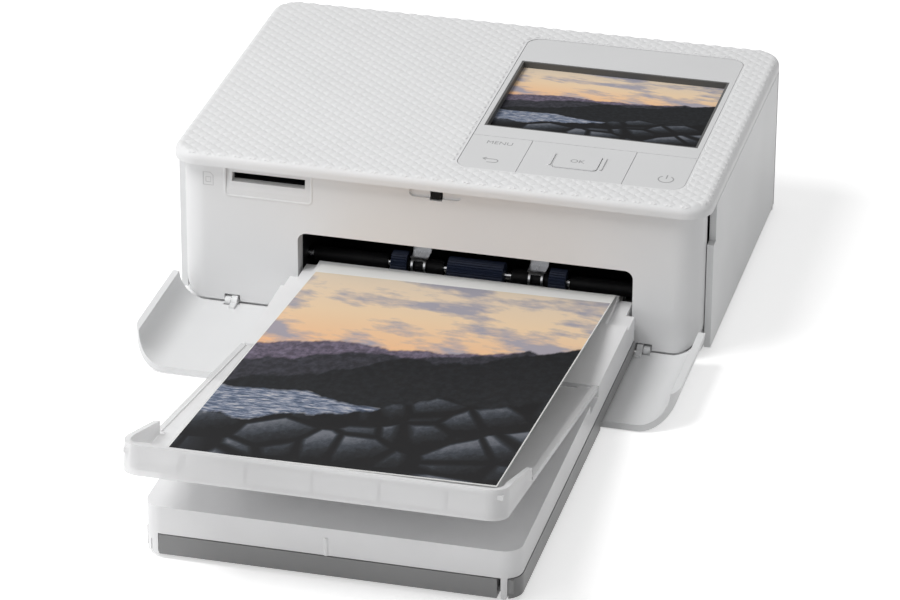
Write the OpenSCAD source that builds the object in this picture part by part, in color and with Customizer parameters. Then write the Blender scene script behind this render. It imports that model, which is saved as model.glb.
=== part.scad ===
// Compact dye-transfer photo printer with its paper cassette pushed in, the
// front door lying open under it and a finished print on the raised tray.
// Body frame: X to the right, Y to the rear, Z up, z = 0 on the table.

/* [Body] */
// Width over the side covers
body_w = 182.2; // [180:0.1:200]
// Depth from the closed front door to the rear panel
body_d = 133; // [131:0.5:150]
// Height over the top cover
body_h = 57.3; // [56.5:0.1:66]
// Corner radius of the top cover in plan
corner_r = 9; // [7:0.5:12]
// Thickness of the side and rear covers
cover_t = 2.2; // [1.6:0.1:2.6]
// Height of the top cover's rim
rim_h = 4.2; // [3.6:0.1:5]
// Radius rolled over the top cover's edge
edge_r = 2.6; // [1.5:0.1:3.2]
// Height of the rubber feet under the floor
foot_h = 1; // [0.8:0.1:2]
// Thickness of the floor
floor_t = 1.5; // [1.2:0.1:1.8]
// Thickness of the front panel
panel_t = 2; // [1.4:0.1:2.4]
// Radius of the front panel's lower corners
panel_corner_r = 8; // [4:0.5:12]

/* [Front door] */
// Thickness of the front door
door_t = 2.3; // [1.8:0.1:2.6]
// Radius of the door's curled ends
door_curl_r = 12; // [10:0.5:14]
// Plan radius of the door's free corners
door_corner_r = 12; // [6:1:20]
// Height of the door's hinge axis above the table
door_axis_z = 2.6; // [2.4:0.1:3]
// Distance of the right hinge ear from the cassette mouth
door_ear_out = 3.15; // [2.9:0.05:6]
// Radius of the door's hinge pins
door_pin_r = 1; // [0.7:0.05:1.2]

/* [Cassette mouth] */
// Middle of the paper path, right of the body's middle
path_x = 9.4; // [7:0.1:11]
// Room beside the cassette in its mouth
mouth_room = 0.95; // [0.6:0.05:2]
// Top edge of the cassette mouth
mouth_top = 31; // [29:0.1:33]
// Corner radius of the mouth
mouth_r = 3; // [1:0.5:5]
// Depth of the return around the mouth
mouth_return = 6; // [3:0.5:7]

/* [Memory card] */
// Distance of the card slot's middle from the left side
card_from_left = 33.55; // [32:0.1:36]
// Width of the card slot
card_w = 25.1; // [24.5:0.1:26]
// Height of the card slot
card_h = 3.2; // [2.6:0.1:3.6]
// Drop of the card slot's middle below the rim
card_drop = 4.4; // [4:0.1:6]

/* [Controls] */
// Distance of the control panel from the right side
panel_from_right = 11.1; // [9:0.1:14]
// Width of the control panel
ctrl_w = 76.7; // [75:0.1:80]
// Depth of the control panel with its keys
ctrl_d = 109; // [106:0.5:112]
// Corner radius of the control panel
ctrl_r = 5; // [3:0.5:8]
// Width of the screen window
screen_w = 71.3; // [68:0.1:73]
// Depth of the screen window
screen_d = 53.7; // [50:0.1:56]
// Distance from the panel's rear edge to the window
screen_back = 20.5; // [14:0.5:24]
// Depth of the screen below the panel
screen_drop = 2.3; // [1.6:0.1:2.6]
// Depth of the key row at the panel's front
key_d = 26; // [24:0.5:27]
// Thickness of the key tops
key_t = 1.9; // [1.5:0.1:2.1]
// Travel of the keys
key_travel = 0.7; // [0.4:0.1:0.8]
// Width of the confirm button
ok_w = 14.9; // [12:0.1:17]
// Depth of the confirm button
ok_d = 11.4; // [9:0.1:13]

/* [Paper cassette] */
// Step from the cassette's outer part in to the part in the mouth
tray_step = 2.8; // [2.6:0.1:4]
// Room from the paper's edge to the outside of the part in the mouth
paper_room = 6; // [5:0.1:6.4]
// How far the cassette reaches into the printer
insert_d = 28; // [26:0.5:29]
// Room in front of the sheets inside the cassette
paper_front = 4.2; // [4.2:0.1:12]
// Height of the cassette's deck behind the tray hinge
deck_z = 18.4; // [18:0.1:19]
// Height of the cassette's deck under the tray
fore_deck_z = 17.4; // [17:0.1:17.6]
// Top of the opaque base
base_top = 7.8; // [7:0.1:9]
// Wall of the cassette mouldings
tray_t = 1.6; // [1.3:0.1:1.9]
// Plan radius of the cassette's front corners
tray_r = 6; // [3:0.5:8]
// Number of ribs under the paper
paper_ribs = 5; // [3:1:7]

/* [Output tray] */
// Distance of the tray's hinge in front of the body
hinge_out = 58; // [54:0.5:64]
// Height of the hinge axis
hinge_z = 16.6; // [16.5:0.1:16.7]
// Slope of the raised tray in degrees
tray_slope = 9.6; // [8:0.1:11]
// Length of the tray from its hinge
flap_len = 126.3; // [120:0.1:130]
// Thickness of the tray's floor
flap_t = 1.2; // [1:0.1:1.4]
// Height of the lip above the tray's floor
lip_h = 8.4; // [6:0.1:10]
// Thickness of the lip
lip_t = 1.8; // [1.4:0.1:2.4]
// Length of the lip's returns along the sides
lip_return = 35; // [20:1:50]
// Height of the returns' rear ends above the tray's floor
return_h = 4.2; // [2:0.1:6]
// Height of the low side walls
side_h = 0.5; // [0.3:0.1:1]

/* [Paper] */
// Width of the paper, which the cassette and the paper path are built around
paper_w = 100; // [98:0.5:102]
// Length of a print with its tear-off ends
paper_l = 186.3; // [185:0.1:188]
// Length of the blank sheets
blank_l = 186; // [170:1:186]
// Height of the stack of blank sheets
stack_h = 4.2; // [1:0.1:4.2]
// Thickness of the print
print_t = 0.3; // [0.25:0.01:0.4]

/* [Paper drive] */
// Height of the shafts of the paper drive
shaft_z = 15.8; // [15.7:0.05:16.2]
// Setback of the feed shaft behind the front panel
feed_back = 16.9; // [16:0.1:18]
// Radius of the steel shafts
shaft_r = 1.5; // [1.2:0.05:1.8]
// Radius of the feed rollers
feed_r = 4.2; // [3.6:0.1:4.3]
// Number of flutes on a feed roller
flutes = 28; // [16:2:36]
// Radius of the platen and of the capstan
platen_r = 5.5; // [4.5:0.1:5.6]
// Radius of the pinch roller
pinch_r = 3; // [2.4:0.1:3.2]
// Tooth module of the drive gears
gear_m = 1.2; // [1:0.02:1.22]
// Teeth of each roller gear
gear_n = 20; // [16:4:20]
// Teeth of the motor pinion
pinion_n = 12; // [12:4:16]
// Width of the gears
gear_w = 5; // [3:0.5:5.5]

/* [Ribbon cartridge] */
// Outer radius of the supply barrel
supply_r = 10; // [9:0.1:10.2]
// Outer radius of the take-up barrel
takeup_r = 9; // [8:0.1:9.2]
// Wall of the cartridge
barrel_t = 0.9; // [0.8:0.05:1.2]
// Radius of the unused film on its spool
supply_roll_r = 8; // [5:0.1:8.2]
// Radius of the used film on its spool
used_roll_r = 5.6; // [4:0.1:7]
// Length of the grip outside the cartridge bay
grip_l = 7; // [4:0.5:8]

/* [Ink door] */
// Height of the finger notch at the door's front edge
notch_h = 13.5; // [8:0.5:18]
// Depth of the finger notch
notch_d = 3.5; // [2:0.5:5]
// Radius of the hinge barrel
barrel_r = 2.1; // [1.8:0.1:2.4]
// Radius of the hinge pins
ink_pin_r = 1; // [0.7:0.05:1.2]

/* [Clearances] */
// Gap between separate covers
gap = 0.3; // [0.2:0.05:0.4]
// Radial running clearance of pins and shafts
run = 0.05; // [0.02:0.01:0.09]
// Gap around the keys
key_gap = 0.2; // [0.15:0.05:0.3]

/* [Hidden] */
$fn = 64;
half_w = body_w / 2;
front_y = -body_d / 2;
rear_y = body_d / 2;
rim_z = body_h - rim_h;
floor_z = foot_h + floor_t;
skirt_z = foot_h + 0.5;
cover_top = rim_z - gap;
skin_t = 1.9;

// Widths built up from the paper
insert_w = paper_w + 2 * paper_room;
tray_w = insert_w + 2 * tray_step;
mouth_w = insert_w + 2 * mouth_room;
paper_back = 3.8;
reach = blank_l + paper_front + paper_back - insert_d;

// Front door and panel
panel_y = front_y + door_t + gap;
panel_half = half_w - cover_t - gap;
panel_round = door_curl_r - door_t - gap;
door_axis_y = front_y + door_axis_z;
door_back = door_axis_y - 0.4;
door_edge = door_axis_y - (cover_top - door_axis_z) - gap;
side_front = door_axis_y + door_curl_r - door_axis_z - 0.2;
door_ear_x = path_x + mouth_w / 2 + door_ear_out;

// Cassette
mouth_l = path_x - mouth_w / 2;
mouth_r_x = path_x + mouth_w / 2;
tray_front = panel_y - reach;
tray_back = panel_y + insert_d;
step_y = front_y - 1;
door_clear_y = door_edge - 4;
tray_foot_z = gap + 0.9;
tray_floor_z = floor_z + 2 * gap;
hinge_y = front_y - hinge_out;
well_front = hinge_y - 9;
well_back = hinge_y + 3.2;
leg_out = tray_w / 2 - 3.8;
leg_w = 2;
corner_w = 4.9;
leg_y = tray_front + 2.5;
leg_z = 3.4;
block_x = tray_w / 2 - 8.8;
knuckle_x = tray_w / 2 - 4.8;
deck_half = paper_w / 2 + 1.2;
shoulder_z = deck_z - 1.8;

// Paper
stack_z = tray_floor_z + tray_t + 2.1;
stack_back = tray_back - paper_back;
print_back_y = panel_y + 4.2;
print_back_z = deck_z + gap;
rear_open_y = panel_y + 6.4;
print_pitch = 8.57;
print_yaw = 1.33;
print_dx = 0.4;

// Paper drive
feed_y = panel_y + feed_back;
gear_r = gear_m * gear_n / 2;
pinion_r = gear_m * pinion_n / 2;
idler_y = feed_y + 2 * gear_r;
platen_y = idler_y + 2 * gear_r;
capstan_y = platen_y + 2 * gear_r;
jack_z = 14;
pinion_z = shaft_z + gear_r + pinion_r;
path_z = shaft_z + platen_r;
pinch_z = path_z + gap + pinch_r;
motor_shaft_r = 1;
guide_half = mouth_w / 2 + 0.6;
guide_t = 1.4;
plate_in = guide_half + guide_t + gap;
plate_t = 1.2;
plate_l = path_x - plate_in - plate_t;
plate_r = path_x + plate_in;
gear_x = plate_l - 1.3 - gear_w;
gearcase_x = gear_x - 1.8 - plate_t;
roller_l = path_x - paper_w / 2 - 2.5;
roller_r = path_x + paper_w / 2 + 2.5;
motor_x = -half_w + cover_t + 8.55;

// Ribbon cartridge
supply_y = platen_y - 19;
supply_z = path_z + 16.2;
takeup_y = platen_y + 17;
takeup_z = path_z + 17.2;
cart_l = path_x - paper_w / 2 - 3.5;
bay_x = half_w - cover_t - 6.25;
cart_r = bay_x - 0.8 - grip_l;
film_half = paper_w / 2 + 1;
bay_top = takeup_z + takeup_r + gap;
plate_top = bay_top + 1.5;

// Controls
ctrl_r_x = half_w - panel_from_right;
ctrl_x = ctrl_r_x - ctrl_w / 2;
ctrl_y = 0.5;
ctrl_back = ctrl_y + ctrl_d / 2;
ctrl_front = ctrl_y - ctrl_d / 2;
screen_y = ctrl_back - screen_back - screen_d / 2;
screen_x = ctrl_x;
face_z = body_h - 0.1;
key_back = ctrl_front + key_d;
key_y = (ctrl_front + key_back) / 2;
key_l_x = ctrl_x - ctrl_w / 2 + 20.7;
key_r_x = ctrl_x + ctrl_w / 2 - 20.5;
screen_z = face_z - screen_drop;
ok_x = (key_l_x + key_r_x) / 2 + 0.2;
ok_y = key_y + 0.2;
board_z = body_h - 6.9;

// Card socket
card_x = -half_w + card_from_left;
card_z = rim_z - card_drop;
main_z = card_z - card_h / 2 - 2.5;
main_t = 1.4;

// Ink door
hinge_x = half_w - barrel_r;
ink_hinge_y = rear_y - 10;
rear_split = ink_hinge_y + barrel_r + 0.6;

// Middle of the whole outline along Y
tray_up = 2.5;
lip_y = hinge_y - flap_len + (tray_up - flap_t) * sin(tray_slope);
origin_y = -(rear_y + lip_y) / 2;

white = [0.9, 0.9, 0.89];
grey = [0.5, 0.5, 0.5];
black = [0.06, 0.06, 0.07];
steel = [0.72, 0.73, 0.75];
frost = [0.85, 0.86, 0.87, 0.6];
navy = [0.12, 0.15, 0.24];

// ---------- shared shapes ----------

module at_origin() {
    translate([0, origin_y, 0]) children();
}

// Rounded rectangle about the origin
module rrect(w, d, r) {
    square([w - 2 * r, d], center = true);
    square([w, d - 2 * r], center = true);
    for (sx = [-1, 1], sy = [-1, 1])
        translate([sx * (w / 2 - r), sy * (d / 2 - r)]) circle(r);
}

// Rounded rectangle between two corners
module rbox2(x0, y0, x1, y1, r) {
    translate([(x0 + x1) / 2, (y0 + y1) / 2]) rrect(x1 - x0, y1 - y0, r);
}

module block(x0, y0, z0, x1, y1, z1) {
    translate([x0, y0, z0]) cube([x1 - x0, y1 - y0, z1 - z0]);
}

// Cylinder along X between two stations
module rod(x0, x1, y, z, r) {
    translate([x0, y, z]) rotate([0, 90, 0]) cylinder(r = r, h = x1 - x0);
}

// Outline in X and Z, pushed through from y0 to y1
module through_y(y0, y1) {
    translate([0, y1, 0]) rotate([90, 0, 0]) linear_extrude(y1 - y0) children();
}

// Outline in Y and Z, pushed through from x0 to x1
module through_x(x0, x1) {
    translate([x0, 0, 0]) rotate([90, 0, 90]) linear_extrude(x1 - x0) children();
}

// Section of the rolled edge, from the corner's centre outwards
module edge_section(r, h, e) {
    square([r, h - e]);
    square([r - e, h]);
    translate([r - e, h - e]) intersection() {
        circle(e);
        square(e);
    }
}

// Slab with a rounded plan and a rolled top edge
module soft_slab(w, d, r, h, e) {
    for (q = [[1, 1, 0], [-1, 1, 90], [-1, -1, 180], [1, -1, 270]])
        translate([q[0] * (w / 2 - r), q[1] * (d / 2 - r), 0]) rotate([0, 0, q[2]])
            rotate_extrude(angle = 90) edge_section(r, h, e);
    for (s = [0, 180]) rotate([0, 0, s]) {
        translate([w / 2 - r, d / 2 - r, 0]) rotate([90, 0, 0])
            linear_extrude(d - 2 * r) edge_section(r, h, e);
        translate([-w / 2 + r, d / 2 - r, 0]) rotate([90, 0, 90])
            linear_extrude(w - 2 * r) edge_section(r, h, e);
    }
    translate([-w / 2 + r, -d / 2 + r, 0]) cube([w - 2 * r, d - 2 * r, h]);
}

// Open ring of the body's plan, from one wall's outside to its inside
module plan_ring(half_x, half_y, r, t) {
    difference() {
        rrect(2 * half_x, 2 * half_y, r);
        rrect(2 * (half_x - t), 2 * (half_y - t), max(r - t, 0.5));
    }
}

// Involute gear outline, with a tooth centred on +X
pressure = 20;
function roll(r, rb) = r <= rb ? 0 : sqrt(r * r / (rb * rb) - 1) * 180 / PI;
function inv_deg(t) = t - atan(t * PI / 180);
function tooth_pt(rb, t, a, s) =
    let (r = rb * sqrt(1 + pow(t * PI / 180, 2)), g = s * (a - inv_deg(t)))
    [r * cos(g), r * sin(g)];
function tooth(n, m, b) =
    let (r = n * m / 2, rb = r * cos(pressure), rt = r + 0.8 * m,
         rf = r - 1.05 * m, tmax = roll(rt, rb),
         a = 90 / n - b / r * 90 / PI + inv_deg(tan(pressure) * 180 / PI))
    concat([[rf * cos(-a), rf * sin(-a)]],
        [for (k = [0:3]) tooth_pt(rb, tmax * k / 3, a, -1)],
        [for (k = [3:-1:0]) tooth_pt(rb, tmax * k / 3, a, 1)],
        [[rf * cos(a), rf * sin(a)]]);
function spin(p, g) = [p[0] * cos(g) - p[1] * sin(g), p[0] * sin(g) + p[1] * cos(g)];
function gear_pts(n, m) =
    let (t = tooth(n, m, 0.2))
    [for (i = [0:n - 1]) for (p = t) spin(p, 360 * i / n)];

// Gear about an axis along X, its bore and hub included
module gear(n, m, w, bore, turn) {
    rotate([0, 90, 0]) rotate([0, 0, turn]) difference() {
        linear_extrude(w) polygon(gear_pts(n, m));
        translate([0, 0, -1]) cylinder(r = bore, h = w + 2);
    }
}

// ---------- body ----------

module floor_plan() {
    intersection() {
        rrect(2 * (panel_half - gap), 2 * (-panel_y - panel_t - gap), panel_round - panel_t);
        translate([-body_w, -body_d]) square([2 * body_w, body_d + rear_split]);
    }
    y0 = 0;
    rbox2(-panel_half + gap, y0, panel_half - gap, rear_y - cover_t - gap, corner_r - cover_t);
}

module bottom_case() {
    color(white) difference() {
        union() {
            translate([0, 0, foot_h]) linear_extrude(floor_t) floor_plan();
            // low rim inside the covers
            translate([0, 0, foot_h]) linear_extrude(8) difference() {
                floor_plan();
                rbox2(-panel_half + gap + 1.6, panel_y + panel_t + gap + 1.6,
                    panel_half - gap - 1.6, rear_y - cover_t - gap - 1.6, 5);
            }
            // lugs and pins of the front door
            for (s = [-1, 1]) {
                lug = s > 0 ? door_ear_x + 1.3 : -door_ear_x - 3.3;
                rod(lug, lug + 2, door_axis_y, door_axis_z, 1.7);
                block(lug, door_axis_y, foot_h, lug + 2, panel_y + panel_t + 2, door_axis_z + 1.5);
                pin0 = s > 0 ? door_ear_x - 1.2 : -door_ear_x - 2;
                rod(pin0, pin0 + 3.2, door_axis_y, door_axis_z, door_pin_r);
            }
            // ear for the ink door's lower pin
            translate([hinge_x, ink_hinge_y, foot_h]) cylinder(r = barrel_r, h = floor_t);
            block(panel_half - 3, ink_hinge_y - barrel_r, foot_h,
                hinge_x, ink_hinge_y + barrel_r, floor_z);
        }
        translate([hinge_x, ink_hinge_y, 0]) cylinder(r = ink_pin_r + run, h = 10);
        translate([hinge_x, ink_hinge_y, floor_z]) cylinder(r = barrel_r + gap, h = 10);
        // the low rim is open at the front panel's wings and where the cassette comes in
        for (s = [-1, 1])
            translate([s * (half_w - 6), 0, 0])
                block(-6.5, panel_y - 1, floor_z, 6.5, side_front + 1.3, 20);
        block(path_x - guide_half - guide_t - gap, panel_y - 5, floor_z,
            path_x + guide_half + guide_t + gap, panel_y + 12, 20);
    }
}

module rubber_feet() {
    color([0.2, 0.2, 0.2])
        for (x = [-1, 1] * (half_w - 15), y = [front_y + 18, rear_y - 14])
            translate([x, y, 0]) cylinder(r = 5, h = foot_h);
}

// Mouth outline in X and Z
module mouth2(grow) {
    x0 = mouth_l - grow;
    x1 = mouth_r_x + grow;
    r = mouth_r + grow;
    z1 = mouth_top + grow;
    translate([x0, -5]) square([x1 - x0, z1 + 5 - r]);
    translate([x0 + r, 0]) square([x1 - x0 - 2 * r, z1]);
    for (x = [x0 + r, x1 - r]) translate([x, z1 - r]) circle(r);
}

module front_panel() {
    z0 = foot_h + 1.9;
    r = panel_corner_r;
    color(white) difference() {
        union() {
            intersection() {
                translate([0, 0, z0]) linear_extrude(cover_top - z0) intersection() {
                    plan_ring(panel_half, -panel_y, panel_round, panel_t);
                    translate([-body_w, -body_d]) square([2 * body_w, body_d + side_front + 1]);
                }
                through_y(front_y, 0) {
                    translate([-panel_half, z0 + r]) square([2 * panel_half, body_h]);
                    translate([-panel_half + r, z0]) square([2 * (panel_half - r), body_h]);
                    for (s = [-1, 1]) translate([s * (panel_half - r), z0 + r]) circle(r);
                }
            }
            // return around the mouth
            intersection() {
                through_y(panel_y, panel_y + mouth_return) mouth2(1.4);
                block(-half_w, front_y, floor_z + gap, half_w, 0, body_h);
            }
            // thicker pad behind the card slot and the catch
            block(card_x - card_w / 2 - 4, panel_y + 0.5, card_z - 8.5,
                card_x + card_w / 2 + 4, panel_y + panel_t + 1.2, cover_top);
            block(-12, panel_y + 0.5, rim_z - 5.4, 11, panel_y + panel_t + 1.2, cover_top);
        }
        through_y(front_y, 0) mouth2(0);
        // card slot in its sloping recess
        block(card_x - card_w / 2, panel_y - 1, card_z - card_h / 2,
            card_x + card_w / 2, panel_y + 9, card_z + card_h / 2);
        translate([card_x, panel_y, card_z]) rotate([-8, 0, 0])
            block(-card_w / 2 - 2.2, -3, -7, card_w / 2 + 2.2, 0.6, card_h / 2 + 1.6);
        // finger recess of the door's catch
        through_y(front_y, panel_y + 0.9)
            rbox2(-9.3, rim_z - 3.9, 8.3, rim_z - 0.6, 1.6);
        block(-2.3, front_y, rim_z - 4.6, 1.9, 0, cover_top + 1);
        // room for the hinge ears and lugs
        for (s = [-1, 1])
            translate([s * (door_ear_x + 1.1), door_axis_y, 0])
                translate([-2.7, -5, 0]) cube([5.4, 12, door_axis_z + 2.6]);
    }
}

module top_cover() {
    color(white) difference() {
        translate([0, 0, rim_z]) soft_slab(body_w, body_d, corner_r, rim_h, edge_r);
        translate([0, 0, rim_z - 1]) linear_extrude(rim_h - skin_t + 1) difference() {
            rrect(body_w - 7, body_d - 7, corner_r - 3.5);
            // boss over the ink door's upper pin
            translate([hinge_x - 1, ink_hinge_y]) circle(5);
        }
        translate([0, 0, rim_z - 1]) linear_extrude(10)
            translate([ctrl_x, ctrl_y]) rrect(ctrl_w, ctrl_d, ctrl_r);
        translate([hinge_x, ink_hinge_y, rim_z - 1]) cylinder(r = ink_pin_r + run, h = 3);
    }
}

module left_side_cover() {
    color(white) block(-half_w, side_front, skirt_z, -half_w + cover_t, rear_split - gap, cover_top);
}

module rear_panel() {
    color(white) difference() {
        translate([0, 0, skirt_z]) linear_extrude(cover_top - skirt_z) intersection() {
            plan_ring(half_w, rear_y, corner_r, cover_t);
            translate([-body_w, rear_split]) square([2 * body_w, body_d]);
        }
        // paper slot
        through_y(rear_split, rear_y + 1)
            rbox2(roller_l, path_z - 1, roller_r, path_z + 5, 1);
        // power inlet
        translate([-half_w + 18, rear_split, jack_z]) rotate([-90, 0, 0]) cylinder(r = 4.2, h = 20);
        // vents
        for (i = [0:9])
            through_y(rear_split, rear_y + 1)
                rbox2(-half_w + 12 + 4 * i, 34, -half_w + 13.6 + 4 * i, 46, 0.7);
    }
}

module ink_door() {
    z0 = floor_z + gap;
    z1 = cover_top;
    color(white) {
        difference() {
            union() {
                block(half_w - cover_t, side_front, z0 - 1, half_w, ink_hinge_y, z1);
                translate([hinge_x, ink_hinge_y, z0]) cylinder(r = barrel_r, h = z1 - z0);
                block(hinge_x, ink_hinge_y - 4, z0, half_w, ink_hinge_y, z1);
                // snap rib inside the free edge
                block(half_w - cover_t - 1.2, side_front + 8, 18, half_w - cover_t + 0.5,
                    side_front + 9.5, 36);
            }
            block(half_w - 4, side_front - 1, z1 - notch_h, half_w + 1, side_front + notch_d, z1 + 1);
            // room over the hinge ear
            block(half_w - 8, ink_hinge_y - barrel_r - 1, foot_h - 1, half_w + 1, rear_y, z0);
        }
        translate([hinge_x, ink_hinge_y, foot_h + 0.1]) cylinder(r = ink_pin_r, h = 6);
        translate([hinge_x, ink_hinge_y, z1 - 2]) cylinder(r = ink_pin_r, h = gap + 3.2);
    }
}

module front_door() {
    r = door_curl_r;
    color(white) difference() {
        union() {
            intersection() {
                through_y(door_edge, door_back) difference() {
                    union() {
                        translate([-half_w + r, 0]) square([body_w - 2 * r, r]);
                        for (s = [-1, 1]) translate([s * (half_w - r), r]) circle(r);
                    }
                    translate([-half_w + r, door_t]) square([body_w - 2 * r, r + 1]);
                    for (s = [-1, 1]) translate([s * (half_w - r), r]) circle(r - door_t);
                    translate([-body_w, r]) square([2 * body_w, r + 1]);
                }
                // plan with rounded free corners
                linear_extrude(30) union() {
                    rbox2(-half_w, door_edge, half_w, door_back + 20, door_corner_r);
                    translate([-half_w, door_edge + 20]) square([body_w, 60]);
                }
            }
            for (s = [-1, 1]) {
                rod(s * door_ear_x - 1, s * door_ear_x + 1, door_axis_y, door_axis_z, 2.2);
                block(s * door_ear_x - 1, door_axis_y - 5, 0.4, s * door_ear_x + 1, door_axis_y,
                    door_axis_z + 0.6);
            }
            // snap nib at the free edge
            block(-1.6, door_edge + 1.2, door_t - 0.2, 1.4, door_edge + 3.2, door_t + 0.2);
        }
        for (s = [-1, 1]) {
            rod(s * door_ear_x - 2, s * door_ear_x + 2, door_axis_y, door_axis_z, door_pin_r + run);
            // room for the lugs of the bottom case
            x0 = s > 0 ? door_ear_x + 1 : -door_ear_x - 3.6;
            block(x0, door_axis_y - 2.4, -1, x0 + 2.6, door_axis_y + 3, 8);
        }
    }
}

module door_catch() {
    color(black) block(-1.9, panel_y + 0.4, rim_z - 4.2, 1.5, panel_y + panel_t + 3, cover_top - 0.2);
}

// ---------- controls ----------

module control_panel() {
    color(white) translate([0, 0, face_z - key_t]) linear_extrude(key_t) difference() {
        intersection() {
            translate([ctrl_x, ctrl_y]) rrect(ctrl_w - 2 * key_gap, ctrl_d - 2 * key_gap, ctrl_r);
            translate([-body_w, key_back]) square([2 * body_w, body_d]);
        }
        translate([screen_x, screen_y]) square([screen_w + 1.6, screen_d + 1.6], center = true);
    }
    // flange under the top cover's skin
    color(white) translate([0, 0, board_z + 3]) difference() {
        intersection() {
            union() {
                linear_extrude(face_z - key_t - board_z - 3) translate([ctrl_x, ctrl_y])
                    rrect(ctrl_w - 2 * key_gap, ctrl_d - 2 * key_gap, ctrl_r);
                linear_extrude(body_h - skin_t - 0.2 - board_z - 3) translate([ctrl_x, ctrl_y])
                    rrect(ctrl_w + 2.4, ctrl_d + 2.4, ctrl_r + 1);
            }
            translate([-body_w, key_back, -1]) cube([2 * body_w, body_d, 20]);
        }
        translate([0, 0, -1]) linear_extrude(20) {
            translate([screen_x, screen_y]) square([screen_w + 1.6, screen_d + 1.6], center = true);
            translate([ctrl_x, ctrl_y]) rrect(ctrl_w - 3, ctrl_d - 3, ctrl_r - 1);
        }
    }
}

module screen_gasket() {
    color(black) translate([screen_x, screen_y, screen_z]) linear_extrude(screen_drop - 0.1)
        difference() {
            square([screen_w + 1.6 - 0.1, screen_d + 1.6 - 0.1], center = true);
            square([screen_w, screen_d], center = true);
        }
}

module screen_module() {
    color(black) translate([screen_x, screen_y, screen_z - 2.8]) linear_extrude(2.8)
        rrect(screen_w + 2, screen_d + 5, 1);
}

// Key outline: the part of the panel's front row between two stations
module key2(x0, x1) {
    intersection() {
        translate([ctrl_x, ctrl_y]) rrect(ctrl_w - 2 * key_gap, ctrl_d - 2 * key_gap, ctrl_r);
        translate([x0, ctrl_front - 1]) square([x1 - x0, key_d + 1 - key_gap]);
    }
}

// Stem down to the switch under a key
module key_stem(x, y) {
    translate([x, y, board_z + 2.2]) cylinder(r = 1.6, h = face_z - key_t - board_z - 2);
}

module menu_key() {
    color(white) {
        translate([0, 0, face_z - key_t]) linear_extrude(key_t)
            key2(ctrl_x - ctrl_w, key_l_x - key_gap / 2);
        key_stem((ctrl_x - ctrl_w / 2 + key_l_x) / 2, key_y);
    }
}

module select_key() {
    color(white) difference() {
        union() {
            translate([0, 0, face_z - key_t]) linear_extrude(key_t)
                key2(key_l_x + key_gap / 2, key_r_x - key_gap / 2);
            for (s = [-1, 1]) key_stem(ok_x + s * 13.5, ok_y);
            // raised ridges beside the confirm button
            for (s = [-1, 1])
                translate([ok_x + s * (ok_w / 2 + 1.2), ok_y, face_z - 0.5])
                    linear_extrude(0.9) rrect(1, ok_d - 2, 0.45);
        }
        translate([ok_x, ok_y, face_z - 5]) linear_extrude(8)
            rrect(ok_w + 2 * key_gap, ok_d + 2 * key_gap, 1.6);
    }
}

module ok_button() {
    color(white) {
        translate([ok_x, ok_y, face_z - key_t]) linear_extrude(key_t + 0.3) rrect(ok_w, ok_d, 1.5);
        key_stem(ok_x, ok_y);
    }
}

module power_key() {
    color(white) {
        translate([0, 0, face_z - key_t]) linear_extrude(key_t)
            key2(key_r_x + key_gap / 2, ctrl_x + ctrl_w);
        key_stem((ctrl_x + ctrl_w / 2 + key_r_x) / 2, key_y);
    }
}

module key_board() {
    color([0.1, 0.35, 0.2]) {
        block(ctrl_x - ctrl_w / 2 + 4, ctrl_front + 4, board_z, ctrl_x + ctrl_w / 2 - 4,
            key_back - 3, board_z + 1);
        for (x = [(ctrl_x - ctrl_w / 2 + key_l_x) / 2, ok_x - 13.5, ok_x, ok_x + 13.5,
                (ctrl_x + ctrl_w / 2 + key_r_x) / 2])
            block(x - 2, key_y - 2, board_z + 0.9, x + 2, key_y + 2, board_z + 1.4);
    }
    // posts down to the head bracket's flange
    color([0.1, 0.35, 0.2])
        for (x = [ctrl_x - 24, ctrl_x + 8])
            block(x - 2, ctrl_front + 6, plate_top + gap, x + 2, ctrl_front + 12, board_z + 0.2);
}

module main_board() {
    color([0.1, 0.35, 0.2]) {
        block(-half_w + 5, panel_y + 5, main_z - main_t, plate_l - gap, platen_y + 7.5, main_z);
        block(-half_w + 12, platen_y - 31, main_z - 0.1, -half_w + 26, platen_y - 17, main_z + 1.8);
        block(-half_w + 10, platen_y - 9, main_z - 0.1, -half_w + 30, platen_y + 1, main_z + 3.4);
    }
    // standing posts on the floor
    color(white)
        for (x = [-half_w + 9, gearcase_x - 8.75], y = [panel_y + 9, platen_y + 4])
            translate([x, y, floor_z]) cylinder(r = 2, h = main_z - main_t - floor_z);
}

module card_socket() {
    color(steel) difference() {
        block(card_x - card_w / 2 - 1.2, panel_y + panel_t + 1.5, main_z,
            card_x + card_w / 2 + 1.2, panel_y + 30, card_z + card_h / 2 + 0.9);
        block(card_x - card_w / 2 + 0.2, panel_y, card_z - card_h / 2 + 0.2,
            card_x + card_w / 2 - 0.2, panel_y + 27, card_z + card_h / 2 - 0.2);
    }
}

module power_jack() {
    color(black) difference() {
        union() {
            block(-half_w + 13, rear_y - 17, floor_z, -half_w + 23, rear_y - 5, jack_z + 5);
            translate([-half_w + 18, rear_y - 6, jack_z]) rotate([-90, 0, 0]) cylinder(r = 3.9, h = 5.6);
        }
        translate([-half_w + 18, rear_y - 10, jack_z]) rotate([-90, 0, 0]) difference() {
            cylinder(r = 2.8, h = 20);
            translate([0, 0, -1]) cylinder(r = 0.6, h = 9);
        }
    }
}

// ---------- paper path ----------

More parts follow.
